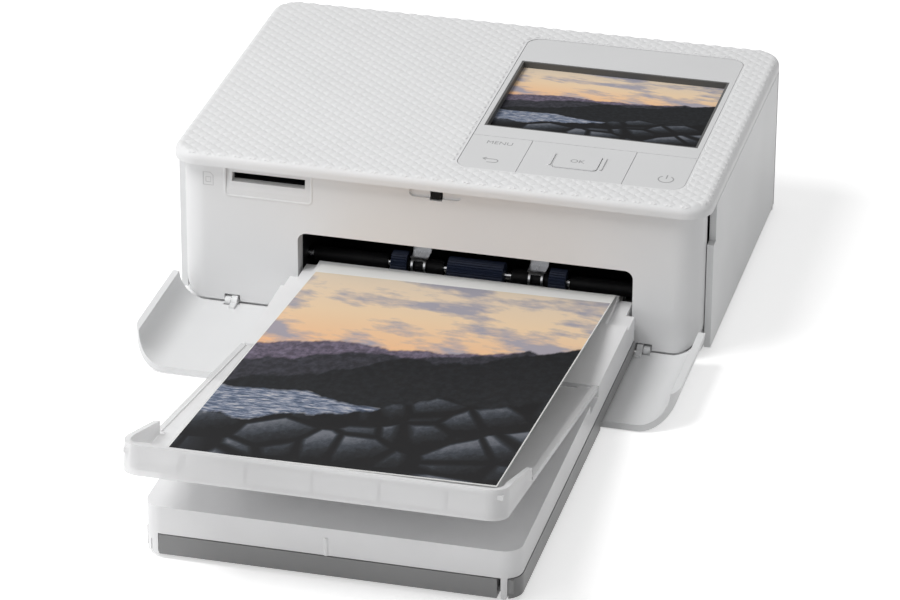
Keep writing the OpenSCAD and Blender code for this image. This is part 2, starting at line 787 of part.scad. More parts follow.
module paper_guide() {
    y0 = panel_y + mouth_return + gap;
    y1 = tray_back + 6;
    top = mouth_top + 0.6;
    color(black) difference() {
        union() {
            block(path_x - guide_half - guide_t, y0, floor_z, path_x - guide_half, y1, top + 1.2);
            block(path_x + guide_half, y0, floor_z, path_x + guide_half + guide_t, y1, top + 1.2);
            // roof that slopes down to the head
            through_x(path_x - guide_half - guide_t, path_x + guide_half + guide_t)
                polygon([[y0, top], [tray_back - 1, top], [platen_y - 14, path_z + 1.6],
                    [platen_y - 8.6, path_z + 1.6], [platen_y - 8.6, path_z + 2.8],
                    [platen_y - 13.7, path_z + 2.8], [tray_back - 0.6, top + 1.2], [y0, top + 1.2]]);
            // ramp that lifts the sheet to the platen
            through_x(path_x - guide_half - guide_t, path_x + guide_half + guide_t)
                polygon([[tray_back + 0.7, floor_z], [tray_back + 0.7, 8],
                    [platen_y - 13, path_z - 1.3], [platen_y - 8, path_z - 1.3],
                    [platen_y - 8, path_z - 2.7], [platen_y - 13.4, path_z - 2.7],
                    [tray_back + 2.2, 7.2], [tray_back + 2.2, floor_z]]);
        }
        rod(path_x - 70, path_x + 70, feed_y, shaft_z, shaft_r + 0.9);
    }
}

module rear_guide() {
    color(black) {
        block(roller_l, capstan_y + 7.5, path_z - 2.4, roller_r, rear_y - cover_t - gap, path_z - 1);
        rib = (roller_r - roller_l - 12) / 6;
        for (i = [0:6])
            block(roller_l + 4 + i * rib, capstan_y + 7.5, path_z - 1.2,
                roller_l + 5.2 + i * rib, rear_y - cover_t - gap, path_z - 0.4);
        for (x = [roller_l, roller_r - 2])
            block(x, capstan_y + 9, floor_z, x + 2, rear_y - cover_t - 4, path_z - 1.2);
    }
}

module plate_outline() {
    polygon([[panel_y + 8, floor_z], [rear_y - 8, floor_z], [rear_y - 8, 30],
        [capstan_y + 14, plate_top], [panel_y + 34, plate_top], [panel_y + 31, 42], [panel_y + 8, 36]]);
}

module shaft_bores(x0, x1) {
    rod(x0, x1, feed_y, shaft_z, shaft_r + run);
    rod(x0, x1, platen_y, shaft_z, shaft_r + run);
    rod(x0, x1, capstan_y, shaft_z, shaft_r + run);
    rod(x0, x1, capstan_y, pinch_z, shaft_r + run);
}

module left_chassis() {
    color(steel) {
        difference() {
            through_x(plate_l, plate_l + plate_t) plate_outline();
            shaft_bores(plate_l - 1, plate_l + 3);
        }
        // stub for the idler gear
        rod(plate_l - gear_w - 2, plate_l + 0.5, idler_y, shaft_z, shaft_r);
        // spindles that carry the spools
        rod(plate_l + 0.5, cart_l + 6, supply_y, supply_z, 2.2);
        rod(plate_l + 0.5, cart_l + 6, takeup_y, takeup_z, 2.2);
        // foot flange on the floor
        block(plate_l, panel_y + 35, floor_z, plate_l + 7, rear_y - 10, floor_z + plate_t);
        // stand-offs for the gear plate
        for (p = [[panel_y + 12, 33], [platen_y + 6, 36], [capstan_y + 15, 30], [capstan_y + 15, 6]])
            rod(gearcase_x + plate_t, plate_l + 0.5, p[0], p[1], 2);
    }
}

module cartridge_outline(grow) {
    translate([supply_y, supply_z]) circle(supply_r + grow);
    translate([takeup_y, takeup_z]) circle(takeup_r + grow);
    translate([supply_y, takeup_z + 1.2 - grow])
        square([takeup_y - supply_y, takeup_r - 1.2 + 2 * grow - 2]);
}

module right_chassis() {
    color(steel) difference() {
        union() {
            through_x(plate_r, plate_r + plate_t) plate_outline();
            block(plate_r + plate_t - 7, panel_y + 35, floor_z, plate_r + plate_t,
                rear_y - 10, floor_z + plate_t);
        }
        shaft_bores(plate_r - 1, plate_r + 3);
        through_x(plate_r - 1, plate_r + 3) {
            cartridge_outline(gap);
            // the film between the barrels goes in with them
            translate([supply_y, path_z + 0.4]) square([takeup_y - supply_y, 20]);
        }
    }
}

module gear_plate() {
    color(steel) difference() {
        through_x(gearcase_x, gearcase_x + plate_t)
            polygon([[panel_y + 8, 4], [capstan_y + 18, 4], [capstan_y + 18, 50],
                [capstan_y - 16, 50], [capstan_y - 16, 40], [panel_y + 8, 37]]);
        rod(gearcase_x - 1, gearcase_x + 3, capstan_y, pinion_z, 5);
    }
}

module head_bracket() {
    z0 = plate_top - 1.4;
    color(steel) {
        block(plate_l + plate_t, platen_y - 6, z0, plate_r, platen_y + 6, plate_top);
        block(path_x - paper_w / 2 + 7, ctrl_front + 5, z0, plate_r, ctrl_front + 14, plate_top);
        block(path_x - paper_w / 2 + 7, ctrl_front + 5, z0, path_x - paper_w / 2 + 13, platen_y + 6,
            plate_top);
        block(plate_r - 8, ctrl_front + 5, z0, plate_r, platen_y + 6, plate_top);
    }
}

module heat_sink() {
    color([0.75, 0.76, 0.78]) {
        w = paper_w / 2;
        block(path_x - w, platen_y - 1, path_z + 5, path_x + w, platen_y + 3, plate_top - 1.4);
        for (i = [0:5])
            block(path_x - w, platen_y - 5, path_z + 9.2 + i * 2.8, path_x + w, platen_y - 0.9,
                path_z + 10.4 + i * 2.8);
    }
}

module thermal_head() {
    color([0.25, 0.23, 0.2]) through_x(path_x - paper_w / 2, path_x + paper_w / 2)
        polygon([[platen_y - 3, path_z + 5], [platen_y + 3, path_z + 5], [platen_y + 3, path_z + 3],
            [platen_y + 0.8, path_z + 1.2], [platen_y - 0.8, path_z + 1.2], [platen_y - 3, path_z + 3]]);
}

module cartridge_bay() {
    color(white) difference() {
        union() {
            block(bay_x, side_front + 1.5, floor_z, bay_x + 1.6, ink_hinge_y - 6, cover_top);
            // flange round the bay's window, inwards to the chassis
            block(plate_r + plate_t + gap, supply_y - supply_r - 2, path_z + 0.4 - 2, bay_x + 0.5,
                takeup_y + takeup_r + 2, bay_top + 1.2);
        }
        block(plate_r, supply_y - supply_r - 0.6, path_z + 0.4 - 0.6, bay_x + 3,
            takeup_y + takeup_r + 0.6, bay_top);
    }
}

module drive_motor() {
    color([0.3, 0.3, 0.32]) difference() {
        union() {
            rod(motor_x, gearcase_x, capstan_y, pinion_z, 11.5);
            rod(gearcase_x - 1, gear_x - 0.6, capstan_y, pinion_z, 2.5);
        }
        rod(gearcase_x - 4, gear_x, capstan_y, pinion_z, motor_shaft_r + run);
    }
}

module motor_pinion() {
    color([0.85, 0.83, 0.75]) union() {
        translate([gear_x, capstan_y, pinion_z]) gear(pinion_n, gear_m, gear_w, motor_shaft_r - 0.2, 0);
        rod(gearcase_x - 3, gear_x + gear_w + 0.5, capstan_y, pinion_z, motor_shaft_r);
    }
}

module roller_gear(y, turn) {
    translate([gear_x, y, shaft_z]) gear(gear_n, gear_m, gear_w, shaft_r - 0.2, turn);
}

module feed_shaft() {
    color(steel) rod(gear_x - 0.8, plate_r + plate_t + 0.6, feed_y, shaft_z, shaft_r);
    color([0.85, 0.83, 0.75]) roller_gear(feed_y, 0);
}

// Rubber roller with fine flutes along its length
module fluted(x0, x1, r) {
    translate([x0, feed_y, shaft_z]) rotate([0, 90, 0]) difference() {
        linear_extrude(x1 - x0) polygon([for (i = [0:2 * flutes - 1])
            (i % 2 == 0 ? r : r - 0.35) * [cos(180 * i / flutes), sin(180 * i / flutes)]]);
        translate([0, 0, -1]) cylinder(r = shaft_r, h = x1 - x0 + 2);
    }
}

module feed_rollers() {
    color(navy) {
        fluted(path_x - 9.2, path_x + 9.9, feed_r);
        fluted(path_x - 28.6, path_x - 23.2, feed_r);
        fluted(path_x + 25.6, path_x + 31.3, feed_r);
    }
}

module shaft_sleeves() {
    // the bare shaft shows only beside the rollers
    spans = [[-guide_half + 2, -30], [-23, -10.9], [12.6, 25.4], [32.6, guide_half - 2]];
    color(black) for (s = spans)
        difference() {
            rod(path_x + s[0], path_x + s[1], feed_y, shaft_z, shaft_r + 1);
            rod(path_x + s[0] - 1, path_x + s[1] + 1, feed_y, shaft_z, shaft_r);
        }
}

module shaft_clips() {
    top = mouth_top + 0.6;
    r = shaft_r + 1 + gap + 0.1;
    color(steel) for (x = [path_x - 22.3, path_x + 18]) {
        // leaf from the roof and over the shaft
        through_x(x, x + 6.2) {
            translate([feed_y + r, shaft_z + r]) square([0.8, top - shaft_z - r]);
            translate([feed_y - 1.5, shaft_z + r]) square([r + 2.3, 0.8]);
        }
        // wire loop in front of the shaft
        difference() {
            through_x(x + 0.6, x + 5.6) intersection() {
                translate([feed_y, shaft_z]) difference() {
                    circle(r + 0.8);
                    circle(r);
                }
                translate([feed_y - r - 2, shaft_z - 1.6]) square([r + 2, r + 4]);
            }
            block(x + 1.3, feed_y - r - 2, shaft_z - 0.8, x + 4.9, feed_y, shaft_z + r - 0.3);
        }
    }
}

module idler_gear() {
    color([0.85, 0.83, 0.75]) translate([gear_x, idler_y, shaft_z])
        gear(gear_n, gear_m, gear_w, shaft_r + run, 180 / gear_n);
}

// Turns freely on the end of the platen's shaft
module second_idler() {
    color([0.85, 0.83, 0.75]) translate([gear_x, platen_y, shaft_z])
        gear(gear_n, gear_m, gear_w, shaft_r + run, 0);
}

module platen_roller() {
    color(steel) rod(gear_x - 0.8, plate_r + plate_t + 0.6, platen_y, shaft_z, shaft_r);
    color([0.15, 0.15, 0.16]) rod(roller_l, roller_r, platen_y, shaft_z, platen_r);
}

module capstan_roller() {
    color(steel) rod(gear_x - 0.8, plate_r + plate_t + 0.6, capstan_y, shaft_z, shaft_r);
    color(steel) rod(roller_l, roller_r, capstan_y, shaft_z, platen_r);
    color([0.85, 0.83, 0.75]) roller_gear(capstan_y, 180 / gear_n);
}

module pinch_roller() {
    color(steel) rod(plate_l - 0.6, plate_r + plate_t + 0.6, capstan_y, pinch_z, shaft_r);
    color([0.15, 0.15, 0.16]) rod(roller_l, roller_r, capstan_y, pinch_z, pinch_r);
}

// ---------- ribbon cartridge ----------

module ribbon_case() {
    inner_s = supply_r - barrel_t;
    inner_t = takeup_r - barrel_t;
    color([0.25, 0.26, 0.28]) difference() {
        union() {
            rod(cart_l, cart_r, supply_y, supply_z, supply_r);
            rod(cart_l, cart_r, takeup_y, takeup_z, takeup_r);
            // end frames join the barrels
            for (x = [cart_l, cart_r - 2])
                through_x(x, x + 2) translate([supply_y, takeup_z + 1.2])
                    square([takeup_y - supply_y, takeup_r - 3.2]);
            // grip
            through_x(cart_r - 0.5, cart_r + grip_l)
                translate([(supply_y + takeup_y) / 2, takeup_z + 1.2 + (takeup_r - 3.2) / 2])
                    rrect(takeup_y - supply_y - 6, takeup_r - 3.2, 2);
        }
        rod(cart_l + 1.2, cart_r - 1.2, supply_y, supply_z, inner_s);
        rod(cart_l + 1.2, cart_r - 1.2, takeup_y, takeup_z, inner_t);
        rod(cart_l - 1, cart_l + 3, supply_y, supply_z, 3);
        rod(cart_l - 1, cart_l + 3, takeup_y, takeup_z, 3);
        // slots where the film leaves and comes back
        block(path_x - film_half - 1, supply_y - 1, path_z + 2,
            path_x + film_half + 1, supply_y + supply_r + 1, supply_z - 3);
        block(path_x - film_half - 1, takeup_y - takeup_r - 1, path_z + 2,
            path_x + film_half + 1, takeup_y, takeup_z - 3);
        // bearings of the spools' far ends
        rod(cart_r - 1.5, cart_r - 0.3, supply_y, supply_z, 1.5 + run);
        rod(cart_r - 1.5, cart_r - 0.3, takeup_y, takeup_z, 1.5 + run);
    }
}

module spool(y, z, roll_r) {
    color([0.8, 0.8, 0.78]) difference() {
        rod(cart_l + 1.6, cart_r - 1.6, y, z, 3.2);
        rod(cart_l, cart_l + 7, y, z, 2.2 + run);
    }
    color([0.8, 0.8, 0.78]) rod(cart_r - 2, cart_r - 0.5, y, z, 1.5);
    color([0.7, 0.3, 0.4]) difference() {
        rod(path_x - film_half, path_x + film_half, y, z, roll_r);
        rod(path_x - film_half - 1, path_x + film_half + 1, y, z, 3);
    }
}

module supply_spool() { spool(supply_y, supply_z, supply_roll_r); }

module take_up_spool() { spool(takeup_y, takeup_z, used_roll_r); }

// Point where a line from p touches a circle about c, on the side s
function touch(c, r, p, s) =
    let (d = norm(p - c), g = atan2(p[1] - c[1], p[0] - c[0]) + s * acos(r / d))
    c + r * [cos(g), sin(g)];

module ribbon_film() {
    t = 0.3;
    z = path_z + 0.9;
    cs = [supply_y, supply_z];
    ct = [takeup_y, takeup_z];
    hs = [platen_y - 1.5, z];
    ht = [platen_y + 1.5, z];
    color([0.7, 0.3, 0.4]) through_x(path_x - film_half, path_x + film_half)
        polygon([touch(cs, supply_roll_r + 0.35, hs, -1), hs, ht, touch(ct, used_roll_r + 0.35, ht, 1),
            touch(ct, used_roll_r + 0.35 + t, ht - [0, t], 1), ht - [0, t], hs - [0, t],
            touch(cs, supply_roll_r + 0.35 + t, hs - [0, t], -1)]);
}

// ---------- paper cassette ----------

// Plan of the cassette, drawn in by d on every side but the rear
module tray_plan(d) {
    rbox2(path_x - tray_w / 2 + d, tray_front + d, path_x + tray_w / 2 - d, tray_front + 40,
        max(tray_r - d, 0.8));
    translate([path_x - tray_w / 2 + d, tray_front + 20])
        square([tray_w - 2 * d, step_y - tray_front - 20 - d]);
    translate([path_x - insert_w / 2 + d, tray_front + 20])
        square([insert_w - 2 * d, tray_back - d - tray_front - 20]);
}

// Room in the base for the cover's legs
module leg_slots(z0, z1) {
    block(path_x + leg_out - leg_w - 1.1, tray_front - 1, z0, path_x + leg_out + gap,
        tray_front + 5, z1);
    block(path_x - tray_w, tray_front - 1, z0, path_x - tray_w / 2 + corner_w + gap,
        tray_front + 5, z1);
}

// Leg seen from the front, round at its foot
module leg2(x0, x1) {
    r = (x1 - x0) / 2;
    translate([x0 + r, 0.7 + r]) circle(r);
    translate([x0, 0.7 + r]) square([2 * r, base_top + 3 - r]);
}

// Narrow leg at the right, corner leg with a groove up its foot at the left
module cover_legs() {
    l = path_x - tray_w / 2 + 0.2;
    m = l + (corner_w - 0.2) / 2;
    difference() {
        intersection() {
            linear_extrude(base_top + 4) tray_plan(0.2);
            through_y(tray_front + 0.2, tray_front + 4.7) {
                leg2(path_x + leg_out - leg_w, path_x + leg_out);
                leg2(l, m - 0.15);
                leg2(m + 0.15, l + corner_w - 0.2);
                translate([l, leg_z + 2]) square([corner_w - 0.2, base_top - leg_z]);
            }
        }
        rod(path_x + leg_out - leg_w - 1, path_x + leg_out + 1, leg_y, leg_z, 0.9 + run);
        rod(m, l + corner_w, leg_y, leg_z, 0.9 + run);
    }
}

module cassette_base() {
    z1 = base_top;
    color(grey) difference() {
        union() {
            difference() {
                union() {
                    // deeper in front of the open door, shallower above it
                    translate([0, 0, tray_foot_z]) linear_extrude(z1 - tray_foot_z) intersection() {
                        tray_plan(0);
                        translate([-body_w, tray_front - 1])
                            square([2 * body_w, door_clear_y - tray_front + 1]);
                    }
                    translate([0, 0, tray_floor_z]) linear_extrude(z1 - tray_floor_z) tray_plan(0);
                }
                translate([0, 0, tray_floor_z + tray_t]) linear_extrude(30) tray_plan(tray_t);
            }
            // walls behind the legs
            block(path_x - tray_w / 2 + 0.4, tray_front + 0.4, tray_floor_z,
                path_x - tray_w / 2 + corner_w + gap + tray_t, tray_front + 5 + tray_t, z1);
            block(path_x + leg_out - leg_w - 1.1 - tray_t, tray_front + 0.4, tray_floor_z,
                path_x + leg_out + gap + tray_t, tray_front + 5 + tray_t, z1);
            // inner lip behind the cover's front wall, open at the rib
            for (q = [[-deck_half, -2.6], [0.6, deck_half - 1]]) {
                block(path_x + q[0], tray_front + tray_t + gap, z1 - 1, path_x + q[1],
                    tray_front + tray_t + gap + 1.1, z1 + 4.6);
                block(path_x + q[0], tray_front + 0.5, tray_floor_z, path_x + q[1],
                    tray_front + tray_t + gap + 1.1, z1);
            }
        }
        leg_slots(-1, 30);
    }
    // ribs under the lift plate
    half = paper_w / 2 - 6;
    color(grey) for (i = [0:paper_ribs - 1])
        block(path_x - half + i * 2 * half / (paper_ribs - 1) - 0.5, tray_front + 8,
            tray_floor_z + tray_t - 0.2, path_x - half + i * 2 * half / (paper_ribs - 1) + 0.5,
            tray_back - 6, tray_floor_z + tray_t + 0.9);
    // pins of the cover's legs
    color(grey) {
        rod(path_x + leg_out - leg_w - 1.5, path_x + leg_out + 0.8, leg_y, leg_z, 0.9);
        rod(path_x - tray_w / 2 + corner_w / 2 + 0.6, path_x - tray_w / 2 + corner_w + 0.8,
            leg_y, leg_z, 0.9);
    }
}

module cassette_cover() {
    z0 = base_top + gap;
    color(frost) difference() {
        union() {
            translate([0, 0, z0]) linear_extrude(fore_deck_z - z0) tray_plan(0.2);
            translate([0, 0, z0]) linear_extrude(deck_z - z0) intersection() {
                tray_plan(0.2);
                translate([-body_w, well_back]) square([2 * body_w, body_d + 100]);
            }
            // rib on the front wall
            translate([path_x - 1, tray_front + 0.7, z0]) cylinder(r = 0.9, h = 6);
        }
        // hollow over the paper
        linear_extrude(fore_deck_z - tray_t) difference() {
            tray_plan(tray_t);
            translate([path_x + leg_out - leg_w, tray_front - 1]) square([leg_w, 5.7]);
            translate([path_x - tray_w, tray_front - 1]) square([tray_w / 2 + corner_w, 5.7]);
        }
        // shoulders beside the deck at the mouth
        for (s = [-1, 1])
            translate([path_x + s * (deck_half + 10), 0, 0])
                block(-10, front_y - 12, shoulder_z, 10, 0, 40);
        // well for the tray's hinge
        block(path_x - tray_w, well_front, hinge_z - 2.2, path_x + tray_w, well_back, 40);
        // open end under the feed shaft, where the sheets leave
        block(path_x - tray_w, rear_open_y, z0 + 1.6, path_x + tray_w, 0, 40);
        block(path_x - insert_w / 2 + 4, rear_open_y, 2, path_x + insert_w / 2 - 4, 0, 40);
    }
    color(frost) cover_legs();
    // floor of the well and the hinge blocks in it
    color(frost) {
        block(path_x - tray_w / 2 + 1, well_front - 1.2, hinge_z - 3.4, path_x + tray_w / 2 - 1,
            well_back + 1.2, hinge_z - 2.2);
        for (y = [well_front - 1.2, well_back])
            block(path_x - tray_w / 2 + 1, y, hinge_z - 3.4, path_x + tray_w / 2 - 1, y + 1.2,
                fore_deck_z - 0.5);
    }
    color(frost) for (s = [-1, 1]) difference() {
        union() {
            rod(path_x + s * block_x - 2, path_x + s * block_x + 2, hinge_y, hinge_z, 1.7);
            block(path_x + s * block_x - 2, hinge_y - 1.7, hinge_z - 2.6,
                path_x + s * block_x + 2, hinge_y + 1.7, hinge_z);
        }
        rod(path_x + s * block_x - 3, path_x + s * block_x + 3, hinge_y, hinge_z, 0.8 + run);
    }
}

module lift_plate() {
    z = tray_floor_z + tray_t + 1.2;
    color([0.3, 0.3, 0.3])
        block(path_x - paper_w / 2 - 1.5, stack_back - blank_l + 3, z, path_x + paper_w / 2 + 1.5,
            stack_back - 1, z + 0.9);
}

module paper_stack() {
    color([0.95, 0.95, 0.93])
        block(path_x - paper_w / 2, stack_back - blank_l, stack_z, path_x + paper_w / 2,
            stack_back, stack_z + stack_h);
}

// ---------- output tray ----------

// Side view in Y and Z before it is tilted: y = 0 at the hinge axis, the
// floor's upper face at z = tray_up
module output_tray() {
    up = tray_up;
    w = tray_w;
    l = flap_len / cos(tray_slope);
    ledge = up + lip_h - 1.7;
    rib = (w / 2 - 18) / 2;
    color(frost) translate([path_x, hinge_y, hinge_z]) rotate([-tray_slope, 0, 0]) {
        difference() {
            union() {
                // floor
                translate([0, 0, up - flap_t]) linear_extrude(flap_t) intersection() {
                    translate([0, -l / 2 + 10]) rrect(w, l + 20, tray_r);
                    translate([-w, -l - 1]) square([2 * w, l + 1]);
                }
                // low side walls and the high lip with its returns
                translate([0, 0, up - flap_t]) linear_extrude(flap_t + side_h) difference() {
                    translate([0, -l / 2 + 10]) rrect(w, l + 20, tray_r);
                    translate([0, -l / 2 + 10]) rrect(w - 2 * lip_t, l + 20 - 2 * lip_t, tray_r - lip_t);
                    translate([-w, 0]) square([2 * w, 40]);
                }
                translate([0, 0, up - flap_t]) linear_extrude(flap_t + lip_h) difference() {
                    translate([0, -l / 2 + 10]) rrect(w, l + 20, tray_r);
                    translate([0, -l / 2 + 10]) rrect(w - 2 * lip_t, l + 20 - 2 * lip_t, tray_r - lip_t);
                    translate([-w, -l + lip_return]) square([2 * w, l + 40]);
                }
                // ledge that carries the print's front edge, on five gussets
                block(-w / 2 + 1, -l + 1, ledge - 1.4, w / 2 - 1, -l + 7.5, ledge);
                for (i = [-2:2])
                    block(i * rib - 0.6, -l + 1, up - 0.5, i * rib + 0.6, -l + 7, ledge - 1);
                // hinge knuckles
                for (s = [-1, 1]) {
                    rod(s * knuckle_x - 1.6, s * knuckle_x + 1.6, 0, 0, 1.7);
                    block(s * knuckle_x - 1.6, -6, 0, s * knuckle_x + 1.6, 0, up - 0.2);
                }
            }
            // the returns fall away to the rear
            through_x(-w, w) polygon([[-l + 8, up + lip_h], [-l + lip_return, up + return_h],
                [-l + lip_return + 5, up + return_h], [-l + lip_return + 5, up + lip_h + 5],
                [-l + 8, up + lip_h + 5]]);
            // notch behind each return
            for (s = [-1, 1])
                block(s * w / 2 - 3, -l + lip_return, up - 0.4, s * w / 2 + 3, -l + lip_return + 2.4,
                    up + lip_h + 1);
            // room over the hinge blocks
            for (s = [-1, 1])
                block(s * block_x - 2.5, -2.6, -1, s * block_x + 2.5, 3, up + 4);
        }
        // hinge pins
        for (s = [-1, 1]) translate([s * (block_x + knuckle_x - 3.3) / 2, 0, 0])
            rod(-2.65, 2.65, 0, 0, 0.8);
    }
}

module photo_print() {
    color([0.7, 0.7, 0.75])
        translate([path_x + print_dx, print_back_y, print_back_z]) rotate([0, 0, print_yaw])
            rotate([-print_pitch, 0, 0])
                translate([-paper_w / 2, -paper_l, 0]) cube([paper_w, paper_l, print_t]);
}

at_origin() bottom_case();
at_origin() rubber_feet();
at_origin() front_panel();
at_origin() top_cover();
at_origin() left_side_cover();
at_origin() rear_panel();
at_origin() ink_door();
at_origin() front_door();
at_origin() door_catch();
at_origin() control_panel();
at_origin() screen_gasket();
at_origin() screen_module();
at_origin() menu_key();
at_origin() select_key();
at_origin() ok_button();
at_origin() power_key();
at_origin() key_board();
at_origin() main_board();
at_origin() card_socket();
at_origin() power_jack();
at_origin() paper_guide();
at_origin() rear_guide();
at_origin() left_chassis();
at_origin() right_chassis();
at_origin() gear_plate();
at_origin() head_bracket();
at_origin() heat_sink();
at_origin() thermal_head();
at_origin() cartridge_bay();
at_origin() drive_motor();
at_origin() motor_pinion();
at_origin() feed_shaft();
at_origin() feed_rollers();
at_origin() shaft_sleeves();
at_origin() shaft_clips();
at_origin() idler_gear();
at_origin() second_idler();
at_origin() platen_roller();
at_origin() capstan_roller();
at_origin() pinch_roller();
at_origin() ribbon_case();
at_origin() supply_spool();
at_origin() take_up_spool();
at_origin() ribbon_film();
at_origin() cassette_base();
at_origin() cassette_cover();
at_origin() lift_plate();
at_origin() paper_stack();
at_origin() output_tray();
at_origin() photo_print();
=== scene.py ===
import math

import bpy
from mathutils import Matrix, Vector


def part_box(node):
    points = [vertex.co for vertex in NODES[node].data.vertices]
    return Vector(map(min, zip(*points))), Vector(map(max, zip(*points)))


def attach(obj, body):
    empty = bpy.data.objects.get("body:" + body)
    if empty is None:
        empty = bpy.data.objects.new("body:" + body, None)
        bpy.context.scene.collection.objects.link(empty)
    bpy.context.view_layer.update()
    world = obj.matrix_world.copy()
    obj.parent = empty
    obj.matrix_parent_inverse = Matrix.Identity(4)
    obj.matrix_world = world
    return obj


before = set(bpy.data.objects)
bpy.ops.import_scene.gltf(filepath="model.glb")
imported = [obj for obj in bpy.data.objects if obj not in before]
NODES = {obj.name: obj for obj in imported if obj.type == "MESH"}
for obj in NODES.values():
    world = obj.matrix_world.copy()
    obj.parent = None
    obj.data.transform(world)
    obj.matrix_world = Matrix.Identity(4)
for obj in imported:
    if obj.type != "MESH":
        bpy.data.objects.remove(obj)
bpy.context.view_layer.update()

MM = 0.001
# The body in millimetres: half its width and depth, its height, and its corners in plan
BODY_HALF = (91.1, 66.5)
BODY_TOP = 57.3
BODY_CORNER_R = 9.0
# Radius rolled over the top cover's edge
EDGE_ROLL = 2.6
# Outer face of the front panel, and how far markings stand clear of it
PANEL_Y, MARK_GAP = -63.9, 0.005
# The control panel: its middle, half its width and depth, and its corners
CTRL_X, CTRL_Y = 41.65, 0.5
CTRL_HALF = (38.35, 54.5)
CTRL_CORNER_R = 5.0
# Size of the screen window, and the height of the picture in it
SCREEN_W, SCREEN_D, SCREEN_Z = 71.3, 53.7, 54.93
# Height just over the keys, and how far the confirm button stands above them
KEY_FACE_Z = 57.21
OK_STEP = 0.3
# Thickness of the two pictures, which lie on a screen and a sheet, and half the lettering's
PICTURE_T, LETTER_T = 0.02, 0.01
# Smallest turn in degrees that a moulded edge is rounded at
SOFT_ANGLE = 35
# Lattice of pillows on the top cover: their pitch across and back, mesh steps along a side,
# height, depth of the skin's underside, and the plain margin at the cover's edge and the panel
RELIEF_PITCH = (5.195, 4.31)
RELIEF_STEPS = 4
RELIEF_HIGH, RELIEF_SKIN, RELIEF_MARGIN = 0.3, 0.15, 0.3
# The pillows rise to full height over these widths from the cover's edge and from the panel
RELIEF_FADE_EDGE, RELIEF_FADE_PANEL = 0.9, 0.7
# The valleys stand clear of the cover, but the skin's rim starts under it and climbs out
RELIEF_CLEAR, RELIEF_UNDER, RELIEF_CLIMB = 0.02, 0.08, 0.3
# The printed sheet: its size and thickness, the bare tail at the rear, and the picture's border
PRINT_L, PRINT_W, PRINT_T = 186.3, 100.0, 0.3
PRINT_TAIL, PRINT_BORDER = 9.0, 0.3
# Middle of its rear edge, underneath, and its turn and slope
PRINT_REAR = (9.8, -59.7, 18.7)
PRINT_YAW, PRINT_PITCH = math.radians(1.33), math.radians(8.57)
# The floor in metres, a little under the feet, and how much of its white it gives out itself
FLOOR_HALF, FLOOR_Z, FLOOR_GLOW = 12.0, -0.0004, 0.5
# Share of the white surroundings that lights the object; cameras and reflections see all of it
AMBIENT = 0.385
# Point that the lamps face
LAMP_AIM = (0, 0, 0.03)
# The camera: direction, tilt, distance in metres, focal length and shift in pixels, and its target
AZ, EL, ROLL = math.radians(14.04), math.radians(26.75), math.radians(0.36)
DISTANCE, FOCAL_PX = 1.4962, 4617.8
SHIFT_PX = (-2.47, -0.29)
TARGET = (12.84, -92.8, 28.0)
IMAGE_PX, SENSOR = 900, 36.0
# The record's origin lies this far from the body's middle
ORIGIN_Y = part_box("rear_panel")[1][1] - BODY_HALF[1] * MM


def at(x, y, z):
    """A point given in millimetres from the middle of the body."""
    return Vector((x * MM, y * MM + ORIGIN_Y, z * MM))


# ---------- node helpers ----------


class Tree:
    """Short names for the shader nodes of a material or a world."""

    def __init__(self, owner):
        owner.use_nodes = True
        self.tree = owner.node_tree

    def new(self, kind, **props):
        node = self.tree.nodes.new(kind)
        for key, value in props.items():
            setattr(node, key, value)
        return node

    def link(self, a, b):
        self.tree.links.new(a, b)

    def put(self, socket, value):
        if isinstance(value, bpy.types.NodeSocket):
            self.link(value, socket)
        else:
            socket.default_value = value

    def math(self, op, a, b=None, c=None, clamp=False):
        node = self.new("ShaderNodeMath", operation=op, use_clamp=clamp)
        self.put(node.inputs[0], a)
        if b is not None:
            self.put(node.inputs[1], b)
        if c is not None:
            self.put(node.inputs[2], c)
        return node.outputs[0]

    def ramp(self, value, stops):
        node = self.new("ShaderNodeValToRGB")
        ramp = node.color_ramp
        while len(ramp.elements) < len(stops):
            ramp.elements.new(0.5)
        for element, (pos, col) in zip(ramp.elements, stops):
            element.position = pos
            element.color = (*col, 1)
        self.link(value, node.inputs[0])
        return node.outputs[0]

    def mix(self, factor, a, b):
        node = self.new("ShaderNodeMix", data_type="RGBA", blend_type="MIX")
        self.put(node.inputs[0], factor)
        for socket, value in ((node.inputs[6], a), (node.inputs[7], b)):
            self.put(socket, value if isinstance(value, bpy.types.NodeSocket) else (*value, 1))
        return node.outputs[2]

    def coords(self, kind="Object"):
        return self.new("ShaderNodeTexCoord").outputs[kind]

    def xyz(self, vector):
        node = self.new("ShaderNodeSeparateXYZ")
        self.link(vector, node.inputs[0])
        return node.outputs

    def vec(self, x, y, z):
        node = self.new("ShaderNodeCombineXYZ")
        for socket, value in zip(node.inputs, (x, y, z)):
            self.put(socket, value)
        return node.outputs[0]

    def noise(self, vector, scale, detail=2.0, rough=0.5):
        node = self.new("ShaderNodeTexNoise")
        self.link(vector, node.inputs["Vector"])
        node.inputs["Scale"].default_value = scale
        node.inputs["Detail"].default_value = detail
        node.inputs["Roughness"].default_value = rough
        return node.outputs["Fac"]

    def bump(self, height, distance):
        node = self.new("ShaderNodeBump")
        self.link(height, node.inputs["Height"])
        node.inputs["Distance"].default_value = distance
        node.inputs["Strength"].default_value = 1.0
        return node.outputs[0]

    def seen(self):
        """1 for what the camera sees, straight or in a reflection, and 0 for the light on things."""
        path = self.new("ShaderNodeLightPath")
        return self.math("ADD", path.outputs["Is Camera Ray"], path.outputs["Is Glossy Ray"], clamp=True)


